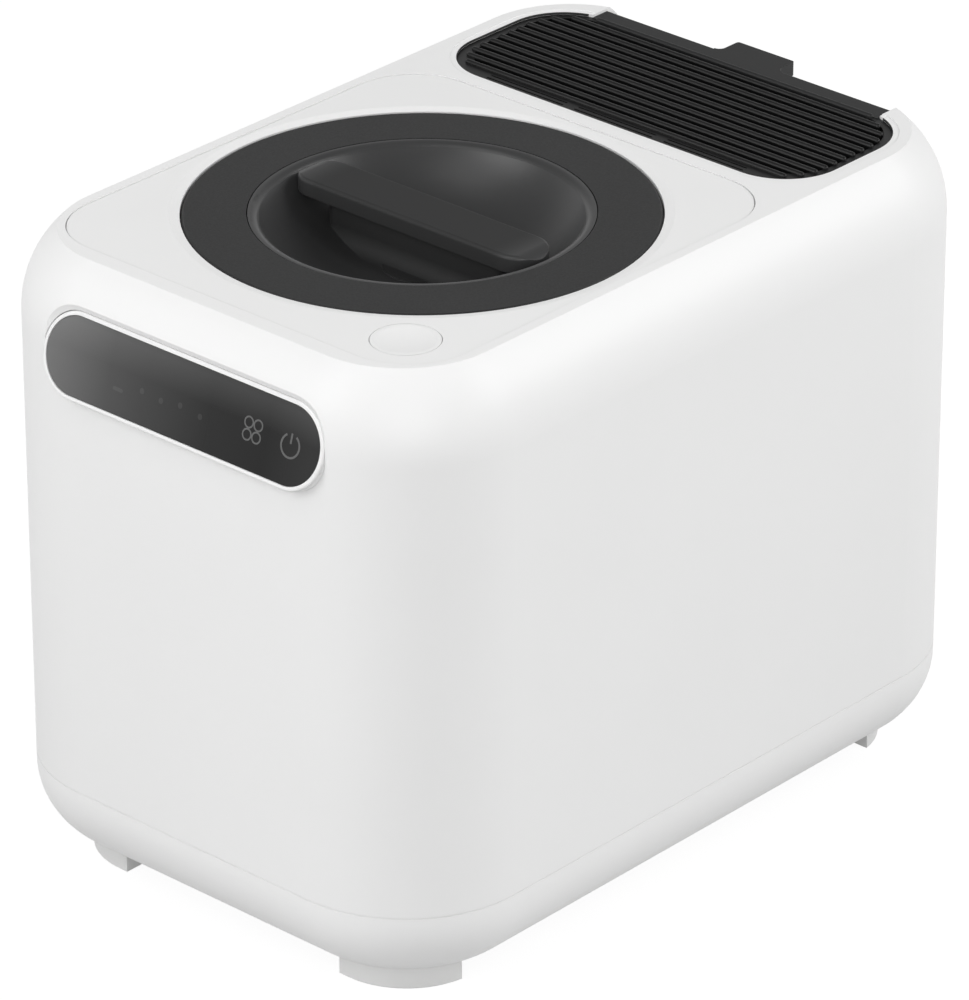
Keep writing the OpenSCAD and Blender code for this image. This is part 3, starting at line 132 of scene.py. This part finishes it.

# Dish: painted shade and a rougher finish under the grip, fading out across and along the bar
DISH_ROUGH = (0.36, 0.7)
DISH_SPECULAR = 0.5
DISH_PAINTED_SHADE = 0.45
GRIP_ACROSS = (0.021, 0.012)
GRIP_ALONG = (0.064, 0.044)

# Rear cover: a darker colour on its ribs than on the rim round them, partly the ribs' own tone and partly
# painted shade for the deep gaps between them, with a smoother finish there
GRILLE_Y = MID_Y + 0.1079
GRILLE_HALF = 0.0382
GRILLE_EDGE = 0.0004
GRILLE_SIDE = 0.001
COVER_ROUGH = (0.5, 0.38)
COVER_SPECULAR = 0.36
COVER_TONE_AND_SHADE = 0.3

# Moulding with two finishes and painted shade in one zone: its grain, rounded edges and clouding
MOULD_GRAIN = 1300.0
MOULD_DEPTH = 0.00001
MOULD_EDGE = 0.0003
MOULD_VARY = 0.05

# Nodes with a finish of their own instead of their slot's
OWN_LOOK = {"lid_knob": "dish", "vent_cover": "cover"}

# Edges: those sharper than this angle stay sharp, and the others are rounded with so many samples
SHARP_ANGLE = math.radians(28)
BEVEL_SAMPLES = 4

# Window: how far its face leans back, the height of its middle and how deep it lies, and the face's
# right, up and outward directions
TILT = math.radians(17)
GLASS_Z = TOP - 0.034
GLASS_SINK = 0.0004
GLASS_RIGHT = Vector((1, 0, 0))
GLASS_UP = Vector((0, math.sin(TILT), math.cos(TILT)))
GLASS_OUT = Vector((0, -math.cos(TILT), math.sin(TILT)))
GLASS_AT = Vector((0, MID_Y - HALF_D, GLASS_Z)) - GLASS_OUT * GLASS_SINK

# Window's dark smoke with painted reflection along X, and painted reflection added between two heights
# over its middle
WINDOW_SMOKE_AND_REFLECTION = (
    (0.068, 0.016),
    (0.045, 0.0035),
    (0.015, 0.01),
    (-0.02, 0.043),
    (-0.038, 0.066),
    (-0.072, 0.155),
)
WINDOW_TOP_REFLECTION = 0.035
WINDOW_TOP_FROM = 0.002
WINDOW_TOP_TO = 0.0125
WINDOW_ROUGH = (0.12, 0.16)
WINDOW_GRAIN = 900.0
WINDOW_DEPTH = 0.000001
WINDOW_STRENGTH = 0.3
WINDOW_IOR = 1.36
WINDOW_EDGE = 0.0004

# Icons on the window, in millimetres from its middle: four rings by their common middle, how far each
# lies off it, their radius and the width of their line, and the power symbol by its middle, radius,
# the two ends of its gap in degrees, the width of its line, and where its bar starts and ends
KEY_AT = (37.65, -0.2)
KEY_STEP = 2.43
KEY_R = 2.12
KEY_W = 0.65
POWER_AT = (57.3, -0.3)
POWER_R = 4.6
POWER_OPEN = (60, 122)
POWER_W = 0.85
POWER_BAR = (0.8, POWER_R + 0.3)

# Faint status marks, in millimetres: a bar by its middle, length and height, and dots by their
# middles and radius, with how much paler than the window they are. Every mark is as thick as MARK_T.
STATUS_BAR = (-32.5, -5.9, 5.5, 1.5)
STATUS_DOTS = ((-20.3, -2.8), (-10.0, -3.5), (0.0, -2.3), (10.8, -3.4))
STATUS_R = 1.2
STATUS_LIFT = 0.02
MARK_T = 0.00004

# Straight steps in the rings, the dots, the ends of the status bar, the power symbol, the corners of
# the casing and of the rear opening, and the ends of the gasket
RING_STEPS = 40
DOT_STEPS = 24
BAR_STEPS = 10
POWER_STEPS = 56
CASING_STEPS = 16
OPENING_STEPS = 24
GASKET_STEPS = 48

# Joint of casing and base: height of the groove's upper edge, its width, and how far in from the
# wall's face the tongue behind it starts and ends
SEAM_Z = 0.0446
SEAM_H = 0.0005
TONGUE_IN = 0.00015
TONGUE_BACK = 0.0011

# Opening round the rear cover, and the seal on its wall: how far out of the opening's outline it
# starts and ends, its heights from the top, and how much of the rear side it leaves open
cover_low, cover_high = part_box("vent_cover")
VENT_HALF_W = cover_high[0]
VENT_HALF_L = 0.03965
VENT_Y = cover_low[1] + VENT_HALF_L
VENT_CORNER = 0.0261
SEAL_OUT = 0.00024
SEAL_IN = 0.0001
SEAL_LOW = -0.00135
SEAL_HIGH = -0.0003
SEAL_STOP = 0.0785

# Bezel round the window and the gap outside it that the gasket fills, in millimetres, and the
# gasket's two edges by their distance out of the window's face
BEZEL_HALF_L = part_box("display_bezel")[1][0] / MM
BEZEL_HALF_H = 17.7
GASKET_GAP = (0.02, 0.23)
GASKET_SINK = -0.0009
GASKET_DEEP = -0.0086

# Filter pads: the node that each stands for, its slot, the size of its even faces, and lumps per metre
PADS = {
    "foam_pad": ("prefilter_foam", "filter_foam", 0.0010, 380.0),
    "carbon_pad": ("carbon_pack", "carbon_felt", 0.0016, 220.0),
}
PAD_UNEVEN = 0.0005


# Camera, light and floor

def make_camera():
    az, el, roll = math.radians(CAM_AZ), math.radians(CAM_EL), math.radians(CAM_ROLL)
    back = Vector((math.sin(az) * math.cos(el), -math.cos(az) * math.cos(el), math.sin(el)))
    right = Vector((math.cos(az), math.sin(az), 0.0))
    up = back.cross(right)
    place = back * CAM_BACK + right * CAM_RIGHT + up * CAM_UP + Vector((0, MID_Y, TOP))
    x = right * math.cos(roll) + up * math.sin(roll)
    y = up * math.cos(roll) - right * math.sin(roll)
    data = bpy.data.cameras.new("photo_camera")
    data.sensor_width = CAM_SENSOR
    data.lens = CAM_LENS
    data.clip_end = CAM_CLIP
    cam = bpy.data.objects.new("photo_camera", data)
    cam.matrix_world = Matrix.Translation(place) @ Matrix((x, y, back)).transposed().to_4x4()
    scene.collection.objects.link(cam)
    scene.camera = cam


def soft_box(name, toward, distance, size, power):
    data = bpy.data.lights.new(name, "AREA")
    data.shape = "SQUARE"
    data.size = size
    data.energy = power
    lamp = bpy.data.objects.new(name, data)
    lamp.location = AIM + Vector(toward).normalized() * distance
    lamp.rotation_euler = (AIM - lamp.location).to_track_quat("-Z", "Y").to_euler()
    scene.collection.objects.link(lamp)


def reckon(tree, operation, first, second=None):
    # One step of arithmetic on an output, with another output or a number
    node = tree.nodes.new("ShaderNodeMath")
    node.operation = operation
    tree.links.new(first, node.inputs[0])
    if isinstance(second, float):
        node.inputs[1].default_value = second
    elif second is not None:
        tree.links.new(second, node.inputs[1])
    return node.outputs[0]


def backdrop_ray(tree):
    # 1 for rays that show the background itself: seen directly, mirrored or refracted
    path = tree.nodes.new("ShaderNodeLightPath")
    shown = reckon(tree, "MAXIMUM", path.outputs["Is Camera Ray"], path.outputs["Is Glossy Ray"])
    return reckon(tree, "MAXIMUM", shown, path.outputs["Is Transmission Ray"])


def split_by_ray(tree, usual, backdrop, out):
    mix = tree.nodes.new("ShaderNodeMixShader")
    tree.links.new(backdrop_ray(tree), mix.inputs["Fac"])
    tree.links.new(usual, mix.inputs[1])
    tree.links.new(backdrop, mix.inputs[2])
    tree.links.new(mix.outputs[0], out.inputs["Surface"])


def make_world():
    world = bpy.data.worlds.new("studio")
    scene.world = world
    world.use_nodes = True
    tree = world.node_tree
    tree.nodes.clear()
    out = tree.nodes.new("ShaderNodeOutputWorld")
    ambient = tree.nodes.new("ShaderNodeBackground")
    ambient.inputs["Color"].default_value = (1, 1, 1, 1)
    ambient.inputs["Strength"].default_value = AMBIENT
    # White round the horizon, a darker studio ceiling overhead
    seen = tree.nodes.new("ShaderNodeBackground")
    seen.inputs["Strength"].default_value = 1.0
    coord = tree.nodes.new("ShaderNodeTexCoord")
    height = apart(tree, coord.outputs["Generated"])["Z"]
    white, ceiling = (1, 1, 1), (CEILING, CEILING, CEILING)
    tint(tree, height, white, ceiling, seen.inputs["Color"], CEILING_FROM, CEILING_TO)
    split_by_ray(tree, ambient.outputs[0], seen.outputs[0], out)


def make_floor():
    s = FLOOR_HALF
    mesh = bpy.data.meshes.new("floor")
    mesh.from_pydata([(-s, -s, 0), (s, -s, 0), (s, s, 0), (-s, s, 0)], [], [(0, 1, 2, 3)])
    floor = bpy.data.objects.new("floor", mesh)
    scene.collection.objects.link(floor)
    mat = bpy.data.materials.new("white_sweep")
    mat.use_nodes = True
    tree = mat.node_tree
    tree.nodes.clear()
    out = tree.nodes.new("ShaderNodeOutputMaterial")
    paper = tree.nodes.new("ShaderNodeBsdfDiffuse")
    paper.inputs["Color"].default_value = (PAPER, PAPER, PAPER, 1)
    # As a background the sweep is white, and keeps a faint part of the shadows on it
    faint = tree.nodes.new("ShaderNodeBsdfDiffuse")
    faint.inputs["Color"].default_value = (SHADOW, SHADOW, SHADOW, 1)
    glow = tree.nodes.new("ShaderNodeEmission")
    glow.inputs["Strength"].default_value = GLOW
    add = tree.nodes.new("ShaderNodeAddShader")
    tree.links.new(faint.outputs[0], add.inputs[0])
    tree.links.new(glow.outputs[0], add.inputs[1])
    split_by_ray(tree, paper.outputs[0], add.outputs[0], out)
    mesh.materials.append(mat)


# Materials. Every pattern is in object coordinates, in metres.

def new_material(name):
    mat = bpy.data.materials.new(name)
    mat.use_nodes = True
    tree = mat.node_tree
    coord = tree.nodes.new("ShaderNodeTexCoord")
    return mat, tree, tree.nodes["Principled BSDF"], coord.outputs["Object"]


def noise(tree, coord, scale, detail=2.0, rough=0.5, stretch=None):
    tex = tree.nodes.new("ShaderNodeTexNoise")
    tex.inputs["Scale"].default_value = scale
    tex.inputs["Detail"].default_value = detail
    tex.inputs["Roughness"].default_value = rough
    if stretch:
        mapping = tree.nodes.new("ShaderNodeMapping")
        mapping.inputs["Scale"].default_value = stretch
        tree.links.new(coord, mapping.inputs["Vector"])
        coord = mapping.outputs["Vector"]
    tree.links.new(coord, tex.inputs["Vector"])
    return tex.outputs["Fac"]


def cells(tree, coord, scale):
    tex = tree.nodes.new("ShaderNodeTexVoronoi")
    tex.inputs["Scale"].default_value = scale
    tree.links.new(coord, tex.inputs["Vector"])
    return tex.outputs["Distance"]


def apart(tree, coord):
    # The X, Y and Z of a coordinate
    split = tree.nodes.new("ShaderNodeSeparateXYZ")
    tree.links.new(coord, split.inputs[0])
    return split.outputs


def mapped(tree, value, start, end, low=0.0, high=1.0, course="LINEAR"):
    # Low up to start and high from end on, with an even or a smooth course between them
    node = tree.nodes.new("ShaderNodeMapRange")
    node.interpolation_type = course
    node.inputs["From Min"].default_value = start
    node.inputs["From Max"].default_value = end
    node.inputs["To Min"].default_value = low
    node.inputs["To Max"].default_value = high
    tree.links.new(value, node.inputs["Value"])
    return node.outputs["Result"]


def spread(tree, fac, low, high, socket, start=NOISE_LOW, end=NOISE_HIGH):
    tree.links.new(mapped(tree, fac, start, end, low, high), socket)


def tint(tree, fac, low, high, socket, start=NOISE_LOW, end=NOISE_HIGH):
    ramp = tree.nodes.new("ShaderNodeValToRGB")
    ramp.color_ramp.elements[0].position = start
    ramp.color_ramp.elements[1].position = end
    ramp.color_ramp.elements[0].color = (*low, 1)
    ramp.color_ramp.elements[1].color = (*high, 1)
    tree.links.new(fac, ramp.inputs["Fac"])
    tree.links.new(ramp.outputs["Color"], socket)


def relief(tree, shader, height, depth, strength=1.0, edge=0.0):
    # Bump from height, over edges that are rounded by a small radius
    node = tree.nodes.new("ShaderNodeBump")
    node.inputs["Distance"].default_value = depth
    node.inputs["Strength"].default_value = strength
    tree.links.new(height, node.inputs["Height"])
    if edge:
        bevel = tree.nodes.new("ShaderNodeBevel")
        bevel.samples = BEVEL_SAMPLES
        bevel.inputs["Radius"].default_value = edge
        tree.links.new(bevel.outputs["Normal"], node.inputs["Normal"])
    tree.links.new(node.outputs["Normal"], shader.inputs["Normal"])


def scaled(colour, share):
    return tuple(min(1.0, c * share) for c in colour)


def plastic(name, colour, rough, grain, depth, vary, edge=0.0, specular=0.5):
    # Moulded plastic: slow clouding of the colour, and a fine moulding grain
    mat, tree, shader, coord = new_material(name)
    cloud = noise(tree, coord, CLOUD_SCALE, CLOUD_DETAIL)
    low, high = scaled(colour, 1 - vary), scaled(colour, 1 + vary)
    tint(tree, cloud, low, high, shader.inputs["Base Color"])
    fine = noise(tree, coord, grain)
    spread(tree, fine, rough - GRAIN_ROUGH, rough + GRAIN_ROUGH, shader.inputs["Roughness"])
    relief(tree, shader, fine, depth, GRAIN_STRENGTH, edge)
    shader.inputs["Specular IOR Level"].default_value = specular
    return mat


def metal(name, colour, rough, stretch):
    # Brushed, turned or cast metal: streaks along the brushing, or even specks. The stretch alone sets
    # the scale of the noise.
    mat, tree, shader, coord = new_material(name)
    shader.inputs["Metallic"].default_value = 1.0
    lines = noise(tree, coord, 1.0, STREAK_DETAIL, STREAK_ROUGHNESS, stretch)
    tint(tree, lines, scaled(colour, STREAK_DARK), colour, shader.inputs["Base Color"])
    spread(tree, lines, rough - STREAK_SMOOTHER, rough + STREAK_ROUGHER, shader.inputs["Roughness"])
    relief(tree, shader, lines, STREAK_DEPTH, STREAK_STRENGTH)
    return mat


def foam(name, colour, cell, depth):
    mat, tree, shader, coord = new_material(name)
    pores = cells(tree, coord, cell)
    # The pores' hollows are darkened by painted shade
    tint(tree, pores, scaled(colour, PORE_SHADE), colour, shader.inputs["Base Color"])
    shader.inputs["Roughness"].default_value = PORE_ROUGH
    shader.inputs["Specular IOR Level"].default_value = PORE_SPECULAR
    relief(tree, shader, pores, depth)
    return mat


def smoked_window_and_reflection(name, lift=0.0, edge=WINDOW_EDGE):
    # Smoked acrylic with painted reflection, which pales it to the left end and, less, to the top edge
    # and the right end
    mat, tree, shader, coord = new_material(name)
    axes = apart(tree, coord)
    first, last = WINDOW_SMOKE_AND_REFLECTION[0][0], WINDOW_SMOKE_AND_REFLECTION[-1][0]
    # Stops are added anywhere on the ramp, and then put in their places
    ramp = tree.nodes.new("ShaderNodeValToRGB")
    while len(ramp.color_ramp.elements) < len(WINDOW_SMOKE_AND_REFLECTION):
        ramp.color_ramp.elements.new(0.5)
    for element, (x, tone) in zip(ramp.color_ramp.elements, WINDOW_SMOKE_AND_REFLECTION):
        element.position = (x - first) / (last - first)
        element.color = (tone + lift, tone + lift, tone + lift, 1)
    tree.links.new(mapped(tree, axes["X"], first, last), ramp.inputs["Fac"])
    start, end = GLASS_Z + WINDOW_TOP_FROM, GLASS_Z + WINDOW_TOP_TO
    both = tree.nodes.new("ShaderNodeVectorMath")
    tree.links.new(ramp.outputs["Color"], both.inputs[0])
    tree.links.new(mapped(tree, axes["Z"], start, end, 0.0, WINDOW_TOP_REFLECTION), both.inputs[1])
    tree.links.new(both.outputs["Vector"], shader.inputs["Base Color"])
    fine = noise(tree, coord, WINDOW_GRAIN)
    spread(tree, fine, *WINDOW_ROUGH, shader.inputs["Roughness"])
    relief(tree, shader, fine, WINDOW_DEPTH, WINDOW_STRENGTH, edge)
    shader.inputs["IOR"].default_value = WINDOW_IOR
    return mat


def moulding(name, colour, rough, specular, zone, tone_and_shade):
    # Dark plastic with another roughness and a darker colour in one zone, the darker colour being painted
    # shade (on the rear cover partly the ribs' own tone). Along each of two axes, the zone is given by
    # its middle and the distances from there where it has faded out and where it is full.
    mat, tree, shader, coord = new_material(name)
    axes = apart(tree, coord)
    masks = []
    for axis, middle, gone, full in zone:
        off = reckon(tree, "ABSOLUTE", reckon(tree, "SUBTRACT", axes[axis], middle))
        masks.append(mapped(tree, off, gone, full, course="SMOOTHSTEP"))
    inside = reckon(tree, "MULTIPLY", *masks)
    cloud = noise(tree, coord, CLOUD_SCALE, CLOUD_DETAIL)
    blend = tree.nodes.new("ShaderNodeMix")
    blend.data_type = "RGBA"
    tree.links.new(inside, blend.inputs["Factor"])
    # A mix of colours has its two colours on sockets 6 and 7, and its result on output 2
    # Socket 7 takes the colour darkened by painted shade
    for place, tone in ((6, colour), (7, scaled(colour, tone_and_shade))):
        low, high = scaled(tone, 1 - MOULD_VARY), scaled(tone, 1 + MOULD_VARY)
        tint(tree, cloud, low, high, blend.inputs[place], 0.0, 1.0)
    tree.links.new(blend.outputs[2], shader.inputs["Base Color"])
    spread(tree, inside, *rough, shader.inputs["Roughness"], 0.0, 1.0)
    fine = noise(tree, coord, MOULD_GRAIN)
    relief(tree, shader, fine, MOULD_DEPTH, GRAIN_STRENGTH, MOULD_EDGE)
    shader.inputs["Specular IOR Level"].default_value = specular
    return mat


def make_looks():
    grip = (("Y", LID_Y, *GRIP_ACROSS), ("X", 0.0, *GRIP_ALONG))
    grille = (
        ("Y", GRILLE_Y, GRILLE_HALF, GRILLE_HALF - GRILLE_EDGE),
        ("X", 0.0, HALF_W, HALF_W - GRILLE_SIDE),
    )
    # Plastic: colour, roughness, grain per metre, its depth, clouding, radius of edges, specular level.
    # Metal: colour, roughness, streaks per metre along each axis. Foam: colour, pores per metre, depth.
    return {
        "white_shell": plastic("white_satin_plastic", SHELL_WHITE, 0.42, 2200, 0.000006, 0.006, 0.0003),
        "deck_white": plastic("white_matt_plastic", DECK_WHITE, 0.5, 1500, 0.00001, 0.008, 0.0004),
        "foot_white": plastic("pale_foot_plastic", FOOT_WHITE, 0.6, 1200, 0.00002, 0.02, 0.0005),
        "dark_lid": plastic("charcoal_fine_grain", RING_CHARCOAL, 0.5, 1300, 0.00002, 0.05, 0.0004, 0.32),
        "dark_vent": plastic(
            "charcoal_matt_plastic", FRAME_CHARCOAL, 0.42, 1300, 0.00001, 0.05, 0.0002, 0.36),
        "dish": moulding("charcoal_dish", DISH_CHARCOAL, DISH_ROUGH, DISH_SPECULAR, grip, DISH_PAINTED_SHADE),
        "cover": moulding(
            "charcoal_cover", COVER_CHARCOAL, COVER_ROUGH, COVER_SPECULAR, grille, COVER_TONE_AND_SHADE),
        "display_smoke": smoked_window_and_reflection("smoked_window_and_reflection"),
        "window_print": plastic("window_print", (0.1, 0.1, 0.1), 0.35, 900, 0.000002, 0.04),
        # The faint marks carry the window's painted reflection too, paled by STATUS_LIFT
        "window_print_faint": smoked_window_and_reflection("window_print_faint", STATUS_LIFT, 0.0),
        "light_diffuser": plastic("milky_diffuser", (0.8, 0.8, 0.78), 0.5, 900, 0.00001, 0.02),
        "circuit_board": plastic("board_green", (0.02, 0.11, 0.05), 0.35, 700, 0.00002, 0.25),
        "spring_steel": metal("spring_wire", (0.7, 0.7, 0.7), 0.25, (40, 40, 900)),
        "stainless": metal("brushed_stainless", (0.66, 0.66, 0.65), 0.3, (40, 40, 900)),
        "bucket_aluminium": metal("coated_aluminium", (0.42, 0.42, 0.43), 0.42, (60, 60, 700)),
        "heater_aluminium": metal("cast_aluminium", (0.58, 0.58, 0.59), 0.5, (300, 300, 300)),
        "thermal_ceramic": plastic("ceramic_tan", (0.5, 0.4, 0.27), 0.6, 1200, 0.00002, 0.05),
        "gearbox_grey": plastic("gearbox_grey", (0.1, 0.1, 0.105), 0.5, 1300, 0.00002, 0.05),
        "sintered_bronze": metal("sintered_bronze", (0.55, 0.36, 0.15), 0.45, (900, 900, 900)),
        "gear_nylon": plastic("gear_nylon", (0.72, 0.7, 0.62), 0.4, 1500, 0.00001, 0.02),
        "motor_steel": metal("plated_can", (0.55, 0.55, 0.57), 0.3, (60, 60, 900)),
        "air_black": plastic("air_black", (0.02, 0.02, 0.021), 0.5, 1300, 0.00002, 0.05),
        "carbon_felt": foam("carbon_felt", (0.02, 0.02, 0.02), 900, 0.0004),
        "filter_foam": foam("filter_foam", (0.005, 0.005, 0.0052), 420, 0.0008),
        "screw_steel": metal("plated_screw", (0.6, 0.6, 0.6), 0.3, (300, 300, 300)),
        "bolt_acetal": plastic("bolt_acetal", (0.7, 0.7, 0.68), 0.35, 1200, 0.00001, 0.02),
        "seal_silicone": plastic("silicone_grey", (0.4, 0.41, 0.43), 0.6, 900, 0.00002, 0.06),
        "seal_dark": plastic("seal_dark", (0.03, 0.03, 0.03), 0.7, 900, 0.00002, 0.06),
        "grip_dark": plastic("grip_dark", (0.045, 0.045, 0.047), 0.55, 1300, 0.00002, 0.05),
        "switch_dark": plastic("switch_dark", (0.03, 0.03, 0.033), 0.45, 1300, 0.00002, 0.05),
    }


def shade_smooth(mesh):
    for poly in mesh.polygons:
        poly.use_smooth = True


def finish_nodes():
    slots = {s["node"]: s["material_slot"] for s in frame["record"]["subparts"]}
    for name, obj in nodes.items():
        obj.data.materials.clear()
        obj.data.materials.append(looks[OWN_LOOK.get(name, slots[name])])
        shade_smooth(obj.data)
        obj.modifiers.new("edges", "EDGE_SPLIT").split_angle = SHARP_ANGLE


# Pieces that the model leaves to this script

def on_glass(x, y, out=0.0):
    # A point from millimetres right and up on the window's face, and metres out of it
    return GLASS_AT + GLASS_RIGHT * (x * MM) + GLASS_UP * (y * MM) + GLASS_OUT * out


def add_piece(name, bm, body, mat):
    bmesh.ops.recalc_face_normals(bm, faces=bm.faces)
    mesh = bpy.data.meshes.new(name)
    bm.to_mesh(mesh)
    bm.free()
    obj = bpy.data.objects.new(name, mesh)
    scene.collection.objects.link(obj)
    mesh.materials.append(mat)
    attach(obj, body)
    return obj


def add_skin(bm, loops, closed):
    # Faces between four loops of corners of equal length, and at both ends of open ones
    loops = list(loops)
    count = len(loops[0])
    for k in range(4):
        a, b = loops[k], loops[(k + 1) % 4]
        for i in range(count if closed else count - 1):
            j = (i + 1) % count
            bm.faces.new((a[i], a[j], b[j], b[i]))
    if not closed:
        bm.faces.new([loop[0] for loop in loops])
        bm.faces.new([loop[-1] for loop in loops])


def add_strip(bm, points, width, closed):
    # A flat strip of even width along points, lying on the glass
    count = len(points)
    rows = []
    for i, (x, y) in enumerate(points):
        before = points[i - 1] if closed or i > 0 else points[i]
        after = points[(i + 1) % count] if closed or i < count - 1 else points[i]
        along = Vector((after[0] - before[0], after[1] - before[1])).normalized()
        side = Vector((-along.y, along.x)) * (width / 2)
        rows.append([bm.verts.new(on_glass(x + s * side.x, y + s * side.y, out))
                     for s, out in ((1, 0.0), (1, MARK_T), (-1, MARK_T), (-1, 0.0))])
    add_skin(bm, zip(*rows), closed)


def add_plate(bm, outline):
    # A flat plate on the glass
    low = [bm.verts.new(on_glass(x, y)) for x, y in outline]
    high = [bm.verts.new(on_glass(x, y, MARK_T)) for x, y in outline]
    bm.faces.new(high)
    bm.faces.new(low)
    for i in range(len(low)):
        j = (i + 1) % len(low)
        bm.faces.new((low[i], low[j], high[j], high[i]))


def arc(cx, cy, r, start, end, steps):
    angles = [math.radians(start + (end - start) * i / steps) for i in range(steps + 1)]
    return [(cx + r * math.cos(a), cy + r * math.sin(a)) for a in angles]


def circle(cx, cy, r, steps):
    return arc(cx, cy, r, 0, 360, steps)[:-1]


def pill(cx, cy, length, height, steps):
    r = height / 2
    c = length / 2 - r
    return arc(cx + c, cy, r, -90, 90, steps) + arc(cx - c, cy, r, 90, 270, steps)


def make_touch_icons():
    icons = bmesh.new()
    for sx in (-1, 1):
        for sy in (-1, 1):
            x, y = KEY_AT[0] + sx * KEY_STEP, KEY_AT[1] + sy * KEY_STEP
            add_strip(icons, circle(x, y, KEY_R, RING_STEPS), KEY_W, True)
    x, y = POWER_AT
    ring = arc(x, y, POWER_R, POWER_OPEN[1], 360 + POWER_OPEN[0], POWER_STEPS)
    add_strip(icons, ring, POWER_W, False)
    add_strip(icons, [(x, y + up) for up in POWER_BAR], POWER_W, False)
    add_piece("touch_icons", icons, "casing", looks["window_print"])


def make_status_marks():
    status = bmesh.new()
    add_plate(status, pill(*STATUS_BAR, BAR_STEPS))
    for x, y in STATUS_DOTS:
        add_plate(status, circle(x, y, STATUS_R, DOT_STEPS))
    add_piece("status_marks", status, "casing", looks["window_print_faint"])


def rounded_plan(half_w, half_d, r, steps):
    # A rectangle round its middle, by half its width and depth and the radius of its corners
    points = []
    for sx, sy, start in ((1, 1, 0), (-1, 1, 90), (-1, -1, 180), (1, -1, 270)):
        points += arc(sx * (half_w - r), sy * (half_d - r), r, start, start + 90, steps)
    return points


def section(outer, inner, low, high):
    # Corners of a wall's section: outer low, outer high, inner high, inner low
    return (outer, low), (outer, high), (inner, high), (inner, low)


def add_wall(name, loops, closed, body, mat):
    # A thin wall along four loops, one for each corner of its section
    bm = bmesh.new()
    add_skin(bm, [[bm.verts.new(p) for p in loop] for loop in loops], closed)
    return add_piece(name, bm, body, mat)


def make_joint_tongue():
    # Tongue of the casing that closes the joint behind its narrow groove
    loops = []
    for inset, z in section(TONGUE_IN, TONGUE_BACK, SEAM_Z - SEAM_H, SEAM_Z):
        plan = rounded_plan(HALF_W - inset, HALF_D - inset, CORNER_R - inset, CASING_STEPS)
        loops.append([(x, y + MID_Y, z) for x, y in plan])
    add_wall("joint_tongue", loops, True, "casing", looks["white_shell"])


def make_cover_seal():
    # Dark seal on the wall of the opening, under its edge, open where the rear strip runs out
    base = rounded_plan(VENT_HALF_W, VENT_HALF_L, VENT_CORNER, OPENING_STEPS)
    behind = [i for i, (x, y) in enumerate(base) if y > 0 and abs(x) < SEAL_STOP]
    order = list(range(behind[-1] + 1, len(base))) + list(range(behind[0]))
    loops = []
    for out, z in section(SEAL_OUT, SEAL_IN, SEAL_LOW, SEAL_HIGH):
        plan = rounded_plan(VENT_HALF_W + out, VENT_HALF_L + out, VENT_CORNER + out, OPENING_STEPS)
        loops.append([(plan[i][0], plan[i][1] + VENT_Y, TOP + z) for i in order])
    add_wall("cover_seal", loops, False, "casing", looks["seal_dark"])


def make_window_gasket():
    # White gasket between the window's bezel and the casing, a little below both faces
    loops = []
    for gap, out in section(GASKET_GAP[1], GASKET_GAP[0], GASKET_DEEP, GASKET_SINK):
        plan = pill(0, 0, 2 * (BEZEL_HALF_L + gap), 2 * (BEZEL_HALF_H + gap), GASKET_STEPS)
        loops.append([on_glass(x, y, out) for x, y in plan])
    add_wall("window_gasket", loops, True, "casing", looks["white_shell"])


def remeshed(name, node, voxel):
    # A copy of a node's mesh with even small faces
    obj = bpy.data.objects.new(name, nodes[node].data.copy())
    scene.collection.objects.link(obj)
    even = obj.modifiers.new("even", "REMESH")
    even.mode = "VOXEL"
    even.voxel_size = voxel
    mesh = bpy.data.meshes.new_from_object(obj.evaluated_get(bpy.context.evaluated_depsgraph_get()))
    obj.modifiers.clear()
    obj.data = mesh
    mesh.name = name
    return obj


def make_filter_pads():
    # Open-cell foam over a pack of pressed carbon felt, both a little uneven as cut pads are
    for name, (node, slot, voxel, lumps) in PADS.items():
        obj = remeshed(name, node, voxel)
        mesh = obj.data
        for vert, normal in zip(mesh.vertices, [v.normal.copy() for v in mesh.vertices]):
            share = 0.5 + 0.5 * field.noise(vert.co * lumps)
            vert.co -= normal * (PAD_UNEVEN * min(1.0, max(0.0, share)))
        mesh.materials.clear()
        mesh.materials.append(looks[slot])
        shade_smooth(mesh)
        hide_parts(node)
        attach(obj, "filter_unit")


make_camera()
for lamp_name, lamp in LAMPS.items():
    soft_box(lamp_name, *lamp)
make_world()
make_floor()
looks = make_looks()
finish_nodes()
make_touch_icons()
make_status_marks()
make_joint_tongue()
make_cover_seal()
make_window_gasket()
make_filter_pads()
